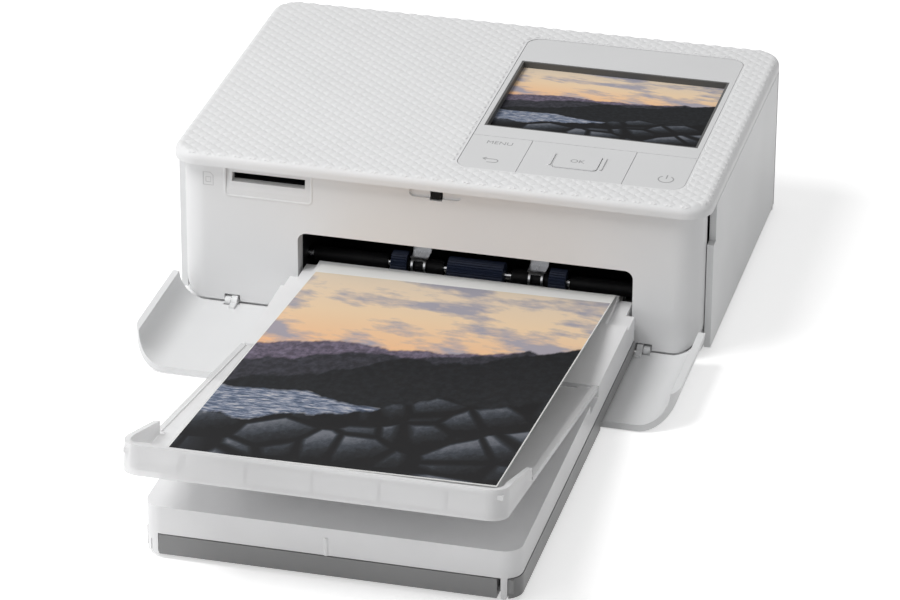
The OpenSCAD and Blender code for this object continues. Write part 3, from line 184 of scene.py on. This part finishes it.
class Nodes(Tree):
    """A new material."""

    def __init__(self, name):
        self.mat = bpy.data.materials.new(name)
        super().__init__(self.mat)
        self.bsdf = self.tree.nodes["Principled BSDF"]
        self.out = self.tree.nodes["Material Output"]

    def set(self, **values):
        """Sets or links the shader's inputs, with _ for a space in their names."""
        for key, value in values.items():
            self.put(self.bsdf.inputs[key.replace("_", " ")], value)


# Noise frequencies in cycles a metre: the colour's clouds, the sheen's, and metal's fine lines
CLOUD_SCALE, SHEEN_SCALE, LINE_SCALE = 35, 60, 4000
# The middle part of a noise, over which the ramps run
NOISE_LOW, NOISE_HIGH = 0.3, 0.7
# Tracks on the circuit boards: turns of the wave in radians a metre, and how much of it is track
TRACK_WAVE, TRACK_LEVEL = 2600, 0.55
# How far the height of brushed metal's lines reaches, in metres
LINE_BUMP = 0.000015


def plastic(name, colour, rough=0.4, grain=0.00002, grain_scale=9000, spec=0.4, shade=0.05, metal=0.0):
    """Moulded or machined surface with a fine grain and faint clouding."""
    n = Nodes(name)
    pos = n.coords()
    cloud = n.noise(pos, CLOUD_SCALE, 3)
    dark = tuple(c * (1 - shade) for c in colour)
    light = tuple(min(1, c * (1 + shade * 0.5)) for c in colour)
    n.set(Base_Color=n.ramp(cloud, [(NOISE_LOW, dark), (NOISE_HIGH, light)]))
    smooth, dull = (rough * 0.92,) * 3, (min(1, rough * 1.08),) * 3
    n.set(Roughness=n.ramp(n.noise(pos, SHEEN_SCALE, 2), [(NOISE_LOW, smooth), (NOISE_HIGH, dull)]))
    n.bsdf.inputs["Metallic"].default_value = metal
    n.bsdf.inputs["Specular IOR Level"].default_value = spec
    n.link(n.bump(n.noise(pos, grain_scale, 2), grain), n.bsdf.inputs["Normal"])
    return n


def brushed(name, colour, rough=0.3, axis=0):
    """Steel or aluminium with fine lines along one axis."""
    n = Nodes(name)
    pos = n.coords()
    parts = list(n.xyz(pos))
    # stretched along the axis, so the noise draws out into lines
    parts[axis] = n.math("MULTIPLY", parts[axis], 0.02)
    lines = n.noise(n.vec(*parts), LINE_SCALE, 2)
    n.set(Base_Color=n.ramp(lines, [(NOISE_LOW, tuple(c * 0.9 for c in colour)), (NOISE_HIGH, colour)]))
    n.bsdf.inputs["Metallic"].default_value = 1.0
    n.set(Roughness=n.ramp(lines, [(NOISE_LOW, (rough * 0.8,) * 3), (NOISE_HIGH, (rough * 1.2,) * 3)]))
    n.link(n.bump(lines, LINE_BUMP), n.bsdf.inputs["Normal"])
    return n


# ---------- materials ----------


def board_material():
    """Dark green board with lighter tracks under the lacquer."""
    n = plastic("circuit_board", (0.02, 0.14, 0.06), rough=0.3)
    x, y, _ = n.xyz(n.coords())
    slant = n.math("ADD", x, n.math("MULTIPLY", y, 0.3))
    wave = n.math("SINE", n.math("MULTIPLY", slant, TRACK_WAVE))
    tracks = n.math("GREATER_THAN", wave, TRACK_LEVEL)
    n.set(Base_Color=n.mix(tracks, (0.02, 0.13, 0.06), (0.05, 0.22, 0.09)))
    return n


def frost_material(name, shade, alpha):
    """Frosted, cloudy plastic that lets what lies behind it through."""
    n = plastic(name, (shade, shade, shade + 0.007), rough=0.32, grain_scale=3000, spec=0.3)
    n.bsdf.inputs["Alpha"].default_value = alpha
    n.bsdf.inputs["IOR"].default_value = 1.49
    return n


WHITE = (0.78, 0.782, 0.787)
# Short name: the material's name, its colour, and what else differs from plain plastic
PLASTICS = {
    "front": ("front_white", WHITE, dict(rough=0.4, grain=0.00001, spec=0.3, shade=0.015)),
    "top": ("top_white", WHITE, dict(rough=0.42, grain=0.00001, spec=0.35, shade=0.015)),
    "side": ("side_white", (0.77, 0.775, 0.78),
             dict(rough=0.42, grain=0.00003, grain_scale=5000, shade=0.02)),
    "inner_white": ("inner_white", (0.7, 0.7, 0.7), dict(rough=0.5)),
    "keys": ("key_white", (0.69, 0.693, 0.698), dict(rough=0.42, grain=0.00001, spec=0.25, shade=0.015)),
    "black": ("black_plastic", (0.008, 0.008, 0.009), dict(rough=0.55, spec=0.15)),
    "gasket": ("gasket_grey", (0.08, 0.08, 0.078), dict(rough=0.5)),
    "rubber": ("foot_rubber", (0.03, 0.03, 0.03), dict(rough=0.8, grain=0.00005, grain_scale=4000)),
    "grey": ("cassette_grey", (0.25, 0.25, 0.252), dict(rough=0.38)),
    "gear": ("gear_plastic", (0.75, 0.72, 0.62), dict(rough=0.4)),
    "cartridge": ("cartridge_plastic", (0.05, 0.055, 0.065), dict(rough=0.4)),
    "motor": ("motor_case", (0.05, 0.05, 0.055), dict(rough=0.35, metal=0.4)),
    "head": ("head_ceramic", (0.2, 0.17, 0.13), dict(rough=0.25)),
    "film": ("ribbon_film", (0.45, 0.12, 0.2), dict(rough=0.2)),
    "paper": ("blank_paper", (0.86, 0.86, 0.84), dict(rough=0.6, grain=0.00001, shade=0.02)),
    "platen": ("platen_rubber", (0.02, 0.02, 0.022), dict(rough=0.7)),
    "roller": ("roller_rubber", (0.018, 0.027, 0.06), dict(rough=0.6, grain=0.00003)),
    "lcd": ("screen_glass", (0.02, 0.02, 0.022), dict(rough=0.12)),
    "mark": ("key_marking", (0.33, 0.33, 0.335), dict(rough=0.5)),
    "faint": ("faint_marking", (0.6, 0.6, 0.605), dict(rough=0.4)),
}
MATS = {key: plastic(name, colour, **look) for key, (name, colour, look) in PLASTICS.items()}
MATS["steel"] = brushed("sheet_steel", (0.62, 0.63, 0.65), 0.32, axis=1)
MATS["shaft"] = brushed("shaft_steel", (0.7, 0.71, 0.73), 0.25, axis=1)
MATS["fins"] = brushed("heat_sink_metal", (0.8, 0.81, 0.83), 0.35, axis=0)
MATS["board"] = board_material()
MATS["frost"] = frost_material("tray_frost", 0.86, 0.62)
# Painted light: the cassette cover's frost is brighter and more opaque than the tray's. It is a painted
# glow that stands in for light scattered through the frosted cover and lifts the shade under the tray.
MATS["frost_painted_glow"] = frost_material("cassette_frost", 0.94, 0.86)


def picture(name):
    """Dusk over a hillside and a lake: a generic picture, u to its right, v up."""
    n = Nodes(name)
    u, v, _ = n.xyz(n.coords("UV"))
    flat = n.vec(u, v, 0.0)

    def step(edge, soft):
        """1 below the edge and 0 above it."""
        return n.math("MULTIPLY_ADD", n.math("SUBTRACT", edge, v), soft, 0.5, clamp=True)

    def wander(row, freq, rise, base, slope, detail=8):
        """A rough line across the picture."""
        bend = n.noise(n.vec(u, row, 0.0), freq, detail, 0.55)
        line = n.math("MULTIPLY_ADD", n.math("SUBTRACT", bend, 0.5), rise, base)
        return n.math("MULTIPLY_ADD", u, slope, line)

    # the sky grows paler upwards, under long slanting clouds
    sky = n.ramp(v, [(0.45, (0.85, 0.36, 0.19)), (0.62, (0.9, 0.55, 0.31)),
                     (0.8, (0.87, 0.65, 0.43)), (1.0, (0.78, 0.66, 0.52))])
    slanted = n.math("MULTIPLY_ADD", v, 0.9, n.math("MULTIPLY", u, 1.5))
    cloud = n.noise(n.vec(slanted, n.math("MULTIPLY", v, 4.2), 0.3), 2.6, 7, 0.58)
    cover = n.ramp(cloud, [(0.47, (0, 0, 0)), (0.6, (0.9, 0.9, 0.9))])
    colour = n.mix(cover, sky, (0.34, 0.34, 0.42))
    # three ridges, each nearer, lower and darker
    ridges = [(0.5, 2.2, 0.28, 0.58, 0.1, (0.12, 0.1, 0.14)),
              (4.1, 2.9, 0.3, 0.49, 0.2, (0.028, 0.028, 0.036)),
              (7.8, 3.6, 0.26, 0.36, 0.36, (0.007, 0.008, 0.01))]
    for row, freq, rise, base, slope, tone in ridges:
        grain = n.noise(flat, 42, 6, 0.65)
        speck = n.ramp(grain, [(0.42, tuple(c * 0.7 for c in tone)),
                               (0.66, tuple(c * 1.7 for c in tone))])
        colour = n.mix(step(wander(row, freq, rise, base, slope), 90), colour, speck)
    # the lake lies below its shore line
    waves = n.vec(n.math("MULTIPLY", u, 6.0), n.math("MULTIPLY", v, 34.0), 0.0)
    water = n.ramp(n.noise(waves, 3.4, 7, 0.68),
                   [(0.34, (0.035, 0.05, 0.085)), (0.47, (0.12, 0.155, 0.23)),
                    (0.57, (0.36, 0.38, 0.45)), (0.7, (0.74, 0.68, 0.62))])
    colour = n.mix(step(wander(9.0, 2.2, 0.24, 0.36, -0.12, 5), 80), colour, water)
    # rounded stones along the near shore, lit from the upper left
    across, along = n.math("MULTIPLY", u, 6.5), n.math("MULTIPLY", v, 8.5)
    spread = n.vec(across, along, 0.0)
    cells, rims = (n.new("ShaderNodeTexVoronoi", feature=kind) for kind in ("F1", "DISTANCE_TO_EDGE"))
    for node in (cells, rims):
        n.link(spread, node.inputs["Vector"])
        node.inputs["Scale"].default_value = 1.0
        node.inputs["Randomness"].default_value = 0.85
    mid_x, mid_y, _ = n.xyz(cells.outputs["Position"])
    slant = n.math("MULTIPLY_ADD", n.math("SUBTRACT", across, mid_x), -0.45,
                   n.math("MULTIPLY", n.math("SUBTRACT", along, mid_y), 0.8))
    wet = n.math("MULTIPLY_ADD", n.math("SUBTRACT", n.noise(flat, 45, 6, 0.7), 0.5), 0.5, 0.4)
    gap = n.ramp(rims.outputs["Distance"], [(0.015, (0, 0, 0)), (0.11, (1, 1, 1))])
    stone = n.ramp(n.math("MULTIPLY", n.math("MULTIPLY_ADD", slant, 0.8, wet), gap),
                   [(0.1, (0.002, 0.002, 0.003)), (0.35, (0.014, 0.016, 0.02)),
                    (0.55, (0.045, 0.052, 0.065)), (0.8, (0.15, 0.16, 0.185))])
    colour = n.mix(step(wander(21.0, 2.6, 0.3, 0.17, 0.26, 6), 70), colour, stone)
    n.set(Base_Color=colour)
    n.bsdf.inputs["Roughness"].default_value = 0.4
    n.bsdf.inputs["Specular IOR Level"].default_value = 0.03
    return n


# ---------- CAD nodes take their materials ----------

PAINT = {
    "top": ["top_cover"],
    "front": ["front_panel"],
    "side": ["left_side_cover", "ink_door", "rear_panel", "front_door", "bottom_case"],
    "inner_white": ["cartridge_bay"],
    "keys": ["control_panel", "menu_key", "select_key", "ok_button", "power_key"],
    "black": ["door_catch", "power_jack", "paper_guide", "rear_guide", "shaft_sleeves",
              "card_socket"],
    "gasket": ["screen_gasket"],
    "lcd": ["screen_module"],
    "rubber": ["rubber_feet"],
    "board": ["key_board", "main_board"],
    "steel": ["left_chassis", "right_chassis", "gear_plate", "head_bracket", "shaft_clips"],
    "fins": ["heat_sink"],
    "head": ["thermal_head"],
    "motor": ["drive_motor"],
    "gear": ["motor_pinion", "idler_gear", "second_idler"],
    "shaft": ["feed_shaft", "capstan_roller"],
    "roller": ["feed_rollers"],
    "platen": ["platen_roller", "pinch_roller"],
    "cartridge": ["ribbon_case"],
    "film": ["supply_spool", "take_up_spool", "ribbon_film"],
    "grey": ["cassette_base", "lift_plate"],
    "frost": ["output_tray"],
    # the cassette cover takes the frost with the painted glow
    "frost_painted_glow": ["cassette_cover"],
    "paper": ["paper_stack", "photo_print"],
}
for key, names in PAINT.items():
    for name in names:
        obj = NODES[name]
        if not obj.material_slots:
            obj.data.materials.append(MATS[key].mat)
        for slot in obj.material_slots:
            slot.material = MATS[key].mat


def soften(name, width):
    """Small rounded edges on a moulded piece."""
    mod = NODES[name].modifiers.new("edge", "BEVEL")
    mod.width = width * MM
    mod.segments = 2
    mod.limit_method = "ANGLE"
    mod.angle_limit = math.radians(SOFT_ANGLE)
    mod.harden_normals = False
    mod.use_clamp_overlap = True


SHELLS = ("front_panel", "front_door", "ink_door", "left_side_cover", "rear_panel",
          "cassette_base", "cassette_cover", "output_tray")
for names, width in ((SHELLS, 0.3), (PAINT["keys"], 0.15)):
    for name in names:
        soften(name, width)

# ---------- pieces ----------


def mesh_piece(name, verts, faces, mat, body, uv=None):
    """A mesh that rides on a body, with a UV point for each vertex if there are any."""
    mesh = bpy.data.meshes.new(name)
    mesh.from_pydata([tuple(v) for v in verts], [], faces)
    obj = bpy.data.objects.new(name, mesh)
    bpy.context.scene.collection.objects.link(obj)
    mesh.materials.append(mat)
    if uv is not None:
        layer = mesh.uv_layers.new(name="UVMap")
        for poly in mesh.polygons:
            for li in poly.loop_indices:
                layer.data[li].uv = uv[mesh.loops[li].vertex_index]
    mesh.update()
    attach(obj, body)


def sheet_piece(name, corner, edge_u, edge_v, thick, mat, body):
    """Thin sheet from a corner and two edges, with the picture's UV on it."""
    up = edge_u.cross(edge_v).normalized() * thick
    base = [corner, corner + edge_u, corner + edge_u + edge_v, corner + edge_v]
    verts = base + [p + up for p in base]
    faces = [(4, 5, 6, 7), (3, 2, 1, 0), (0, 1, 5, 4), (1, 2, 6, 5), (2, 3, 7, 6), (3, 0, 4, 7)]
    uv = [(0, 0), (1, 0), (1, 1), (0, 1)] * 2
    mesh_piece(name, verts, faces, mat, body, uv)


def text_piece(name, words, size, centre, mat, body):
    """Flat lettering on the top face, centred on a point."""
    curve = bpy.data.curves.new(name, "FONT")
    curve.body = words
    curve.size = size * MM
    curve.align_x = "CENTER"
    curve.align_y = "CENTER"
    curve.extrude = LETTER_T * MM
    tmp = bpy.data.objects.new(name + "_curve", curve)
    bpy.context.scene.collection.objects.link(tmp)
    bpy.context.view_layer.update()
    graph = bpy.context.evaluated_depsgraph_get()
    mesh = bpy.data.meshes.new_from_object(tmp.evaluated_get(graph))
    bpy.data.objects.remove(tmp)
    mesh.transform(Matrix.Translation(centre))
    obj = bpy.data.objects.new(name, mesh)
    bpy.context.scene.collection.objects.link(obj)
    mesh.materials.clear()
    mesh.materials.append(mat)
    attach(obj, body)


# Sections of a line: across it in widths, and up in thicknesses
FLAT_STROKE = [(-0.5, 0.0), (-0.5, 1.0), (0.5, 1.0), (0.5, 0.0)]
ROUND_STROKE = [(-0.5 * math.cos(math.radians(a)), math.sin(math.radians(a)))
                for a in range(0, 181, 30)]


def stroke_piece(name, paths, width, thick, place, mat, body, profile=FLAT_STROKE):
    """Lines of one width and section; each path is a list of 2D points, placed by a function."""
    verts, faces = [], []
    k = len(profile)
    for path in paths:
        pts = [Vector(p) for p in path]
        first = len(verts)
        for i, p in enumerate(pts):
            a = pts[max(i - 1, 0)]
            b = pts[min(i + 1, len(pts) - 1)]
            d = (b - a).normalized()
            side = Vector((-d.y, d.x)) * width
            base = len(verts)
            for off, high in profile:
                q = p - side * off
                verts.append(place(q.x, q.y, high * thick))
            if i:
                for j in range(k):
                    m = (j + 1) % k
                    faces.append((base - k + j, base - k + m, base + m, base + j))
        faces += [tuple(range(first + k - 1, first - 1, -1)), tuple(range(len(verts) - k, len(verts)))]
    mesh_piece(name, verts, faces, mat, body)


def box_distance(x, y, centre, half, radius):
    """Distance outside a rectangle with round corners, and the way out of it."""
    qx, qy = abs(x - centre[0]) - half[0] + radius, abs(y - centre[1]) - half[1] + radius
    sx, sy = math.copysign(1, x - centre[0]), math.copysign(1, y - centre[1])
    if qx > 0 and qy > 0:
        far = math.hypot(qx, qy)
        return far - radius, (sx * qx / far, sy * qy / far)
    return (qx - radius, (sx, 0.0)) if qx > qy else (qy - radius, (0.0, sy))


def top_relief():
    """Lattice of low rhombic pillows over the top cover and its rolled edge, as a thin closed skin."""
    pitch_x, pitch_y = RELIEF_PITCH
    reach = BODY_HALF[0] / pitch_x + BODY_HALF[1] / pitch_y
    span = int(RELIEF_STEPS * reach) + RELIEF_STEPS
    index, upper, lower = {}, [], []
    for i in range(-span, span + 1):
        for j in range(-span, span + 1):
            u, v = i / RELIEF_STEPS, j / RELIEF_STEPS
            x, y = (u + v) / 2 * pitch_x, (u - v) / 2 * pitch_y
            out, way = box_distance(x, y, (0, 0), BODY_HALF, BODY_CORNER_R)
            clear, _ = box_distance(x, y, (CTRL_X, CTRL_Y), CTRL_HALF, CTRL_CORNER_R)
            if out > -RELIEF_MARGIN or clear < RELIEF_MARGIN:
                continue
            taper = min(1.0, (-out - RELIEF_MARGIN) / RELIEF_FADE_EDGE,
                        (clear - RELIEF_MARGIN) / RELIEF_FADE_PANEL)
            fu, fv = abs(u - round(u)) * 2, abs(v - round(v)) * 2
            valley = min(RELIEF_CLEAR, RELIEF_CLIMB * taper - RELIEF_UNDER)
            lift = valley + RELIEF_HIGH * taper * (1 - fu * fu) * (1 - fv * fv)
            lean = max(0.0, EDGE_ROLL + out)
            rise = math.sqrt(EDGE_ROLL * EDGE_ROLL - lean * lean)
            slope, steep = lean / EDGE_ROLL, rise / EDGE_ROLL
            normal = Vector((way[0] * slope, way[1] * slope, steep))
            base = Vector((x, y, BODY_TOP - EDGE_ROLL + rise))
            index[i, j] = len(upper)
            upper.append(at(*(base + normal * lift)))
            lower.append(at(*(base - normal * RELIEF_SKIN)))
    # the edges are keys of a dict, which keeps them in order
    quads, edges = [], {}
    for i, j in index:
        ring = [index.get(k) for k in ((i, j), (i + 1, j), (i + 1, j + 1), (i, j + 1))]
        if None in ring:
            continue
        # u and v turn the other way round from x and y
        quads.append(tuple(reversed(ring)))
        for k in range(4):
            edges[quads[-1][k], quads[-1][(k + 1) % 4]] = True
    n = len(upper)
    faces = quads + [tuple(k + n for k in reversed(q)) for q in quads]
    faces += [(a, a + n, b + n, b) for a, b in edges if (b, a) not in edges]
    # points at the rim that no face uses are left out
    used = sorted({k for f in faces for k in f})
    place = {k: m for m, k in enumerate(used)}
    both = upper + lower
    verts, faces = [both[k] for k in used], [tuple(place[k] for k in f) for f in faces]
    mesh_piece("top_relief", verts, faces, MATS["top"].mat, "printer")


MARK, FAINT = MATS["mark"].mat, MATS["faint"].mat
text_piece("menu_label", "MENU", 3.3, at(13.8, -33.0, KEY_FACE_Z), MARK, "menu_key")
text_piece("ok_label", "OK", 3.4, at(42.05, -41.0, KEY_FACE_Z + OK_STEP), MARK, "ok_button")


def on_top(cx, cy):
    """Places a 2D point round a centre on the keys, and a height over them."""
    return lambda x, y, h: at(cx + x, cy + y, KEY_FACE_Z + h)


def on_front(cx, cz):
    """Places a 2D point round a centre on the front panel, and a height out of it."""
    return lambda x, y, h: at(cx + x, PANEL_Y - MARK_GAP - h, cz + y)


def arc(r, a0, a1, steps=24, centre=(0, 0)):
    turns = [math.radians(a0 + (a1 - a0) * i / steps) for i in range(steps + 1)]
    return [(centre[0] + r * math.cos(t), centre[1] + r * math.sin(t)) for t in turns]


# arrow that runs right, turns under itself and ends below its head
back_paths = [[(-2.6, 1.1), (1.4, 1.1)] + arc(1.25, 75, -90, 11, (1.4, -0.15)) + [(-0.9, -1.4)],
              [(-1.5, 2.1), (-2.7, 1.1), (-1.5, 0.1)]]
stroke_piece("back_arrow", back_paths, 0.38, 0.015, on_top(13.8, -46.8), MARK, "menu_key")
power_paths = [arc(2.5, 125, 415), [(0, 0.4), (0, 3.2)]]
stroke_piece("power_symbol", power_paths, 0.4, 0.015, on_top(72.9, -46.3), MARK, "power_key")

# small outline of a card beside the slot, with its label
card_paths = [[(-1.7, -2.3), (-1.7, 2.3), (0.7, 2.3), (1.7, 1.3), (1.7, -2.3), (-1.7, -2.3)],
              [(-0.8, -1.2), (-0.8, 0.6), (0.9, 0.6), (0.9, -1.2), (-0.8, -1.2)]]
stroke_piece("card_symbol", card_paths, 0.3, 0.02, on_front(-78.2, 47.3), FAINT, "printer")

# rounded rim round the lower part of the card recess: its left half, then the same from the right
rim_path = [(-14.9, 3.9), (-14.9, -5.3)] + arc(1.5, 195, 270, 5, (-13.4, -5.3))
rim_path += [(-x, y) for x, y in reversed(rim_path)]
stroke_piece("card_recess_rim", [rim_path], 0.9, 0.16, on_front(-57.55, 48.7), MATS["front"].mat,
             "printer", ROUND_STROKE)

top_relief()

# picture on the screen, in the middle of its gasket
low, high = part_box("screen_gasket")
lcd_corner = at(CTRL_X - SCREEN_W / 2, 0, SCREEN_Z)
lcd_corner.y = (low[1] + high[1]) / 2 - SCREEN_D / 2 * MM
sheet_piece("screen_image", lcd_corner, Vector((SCREEN_W * MM, 0, 0)), Vector((0, SCREEN_D * MM, 0)),
            PICTURE_T * MM, picture("screen_picture").mat, "printer")

# picture on the print, on the slope of the tray
right = Vector((math.cos(PRINT_YAW), math.sin(PRINT_YAW), 0))
back = Vector((-math.sin(PRINT_YAW) * math.cos(PRINT_PITCH), math.cos(PRINT_YAW) * math.cos(PRINT_PITCH),
               -math.sin(PRINT_PITCH)))
up = right.cross(back)
rear = at(*PRINT_REAR) + up * PRINT_T * MM
corner = rear - right * (PRINT_W / 2 - PRINT_BORDER) * MM - back * (PRINT_L - PRINT_BORDER) * MM
sheet_piece("print_image", corner, right * (PRINT_W - 2 * PRINT_BORDER) * MM,
            back * (PRINT_L - PRINT_TAIL - PRINT_BORDER) * MM, PICTURE_T * MM,
            picture("print_picture").mat, "photo_print")

# ---------- floor, light, camera ----------

stage = Nodes("floor_white")
stage.bsdf.inputs["Base Color"].default_value = (0.9, 0.9, 0.9, 1)
stage.bsdf.inputs["Roughness"].default_value = 0.9
stage.bsdf.inputs["Specular IOR Level"].default_value = 0.1
glow = stage.new("ShaderNodeEmission")
stage.link(stage.math("MULTIPLY", stage.seen(), FLOOR_GLOW), glow.inputs["Strength"])
both = stage.new("ShaderNodeAddShader")
stage.link(stage.bsdf.outputs[0], both.inputs[0])
stage.link(glow.outputs[0], both.inputs[1])
stage.link(both.outputs[0], stage.out.inputs["Surface"])
mesh = bpy.data.meshes.new("floor")
corners = [(x * FLOOR_HALF, y * FLOOR_HALF, FLOOR_Z) for x, y in ((-1, -1), (1, -1), (1, 1), (-1, 1))]
mesh.from_pydata(corners, [], [(0, 1, 2, 3)])
floor = bpy.data.objects.new("floor", mesh)
bpy.context.scene.collection.objects.link(floor)
mesh.materials.append(stage.mat)

world = bpy.data.worlds.new("studio")
bpy.context.scene.world = world
air = Tree(world)
background = air.tree.nodes["Background"]
background.inputs["Color"].default_value = (1, 1, 1, 1)
air.link(air.math("MULTIPLY_ADD", air.seen(), 1.0 - AMBIENT, AMBIENT), background.inputs["Strength"])


def area_light(name, where, size, power):
    """A round lamp that faces the object; where and size are in metres."""
    data = bpy.data.lights.new(name, "AREA")
    data.shape = "DISK"
    data.size = size
    data.energy = power
    obj = bpy.data.objects.new(name, data)
    obj.location = where
    obj.rotation_euler = (Vector(LAMP_AIM) - Vector(where)).to_track_quat("-Z", "Y").to_euler()
    bpy.context.scene.collection.objects.link(obj)


area_light("key", (-0.6, -0.35, 1.15), 0.7, 10.3)
area_light("front", (-1.1, -1.3, 0.6), 1.0, 5)

away = Vector((math.sin(AZ) * math.cos(EL), -math.cos(AZ) * math.cos(EL), math.sin(EL)))
side = Vector((math.cos(AZ), math.sin(AZ), 0))
above = away.cross(side)
cam_x = side * math.cos(ROLL) + above * math.sin(ROLL)
cam_y = above * math.cos(ROLL) - side * math.sin(ROLL)
cam_data = bpy.data.cameras.new("camera")
cam_data.sensor_width = SENSOR
cam_data.lens = FOCAL_PX * SENSOR / IMAGE_PX
cam_data.shift_x = SHIFT_PX[0] / IMAGE_PX
cam_data.shift_y = SHIFT_PX[1] / IMAGE_PX
cam_data.clip_start = 0.05
cam_data.clip_end = 60
camera = bpy.data.objects.new("camera", cam_data)
turn = Matrix((cam_x, cam_y, away)).transposed().to_4x4()
camera.matrix_world = Matrix.Translation(at(*TARGET) + away * DISTANCE) @ turn
bpy.context.scene.collection.objects.link(camera)
bpy.context.scene.camera = camera
bpy.context.scene.view_settings.view_transform = "Standard"
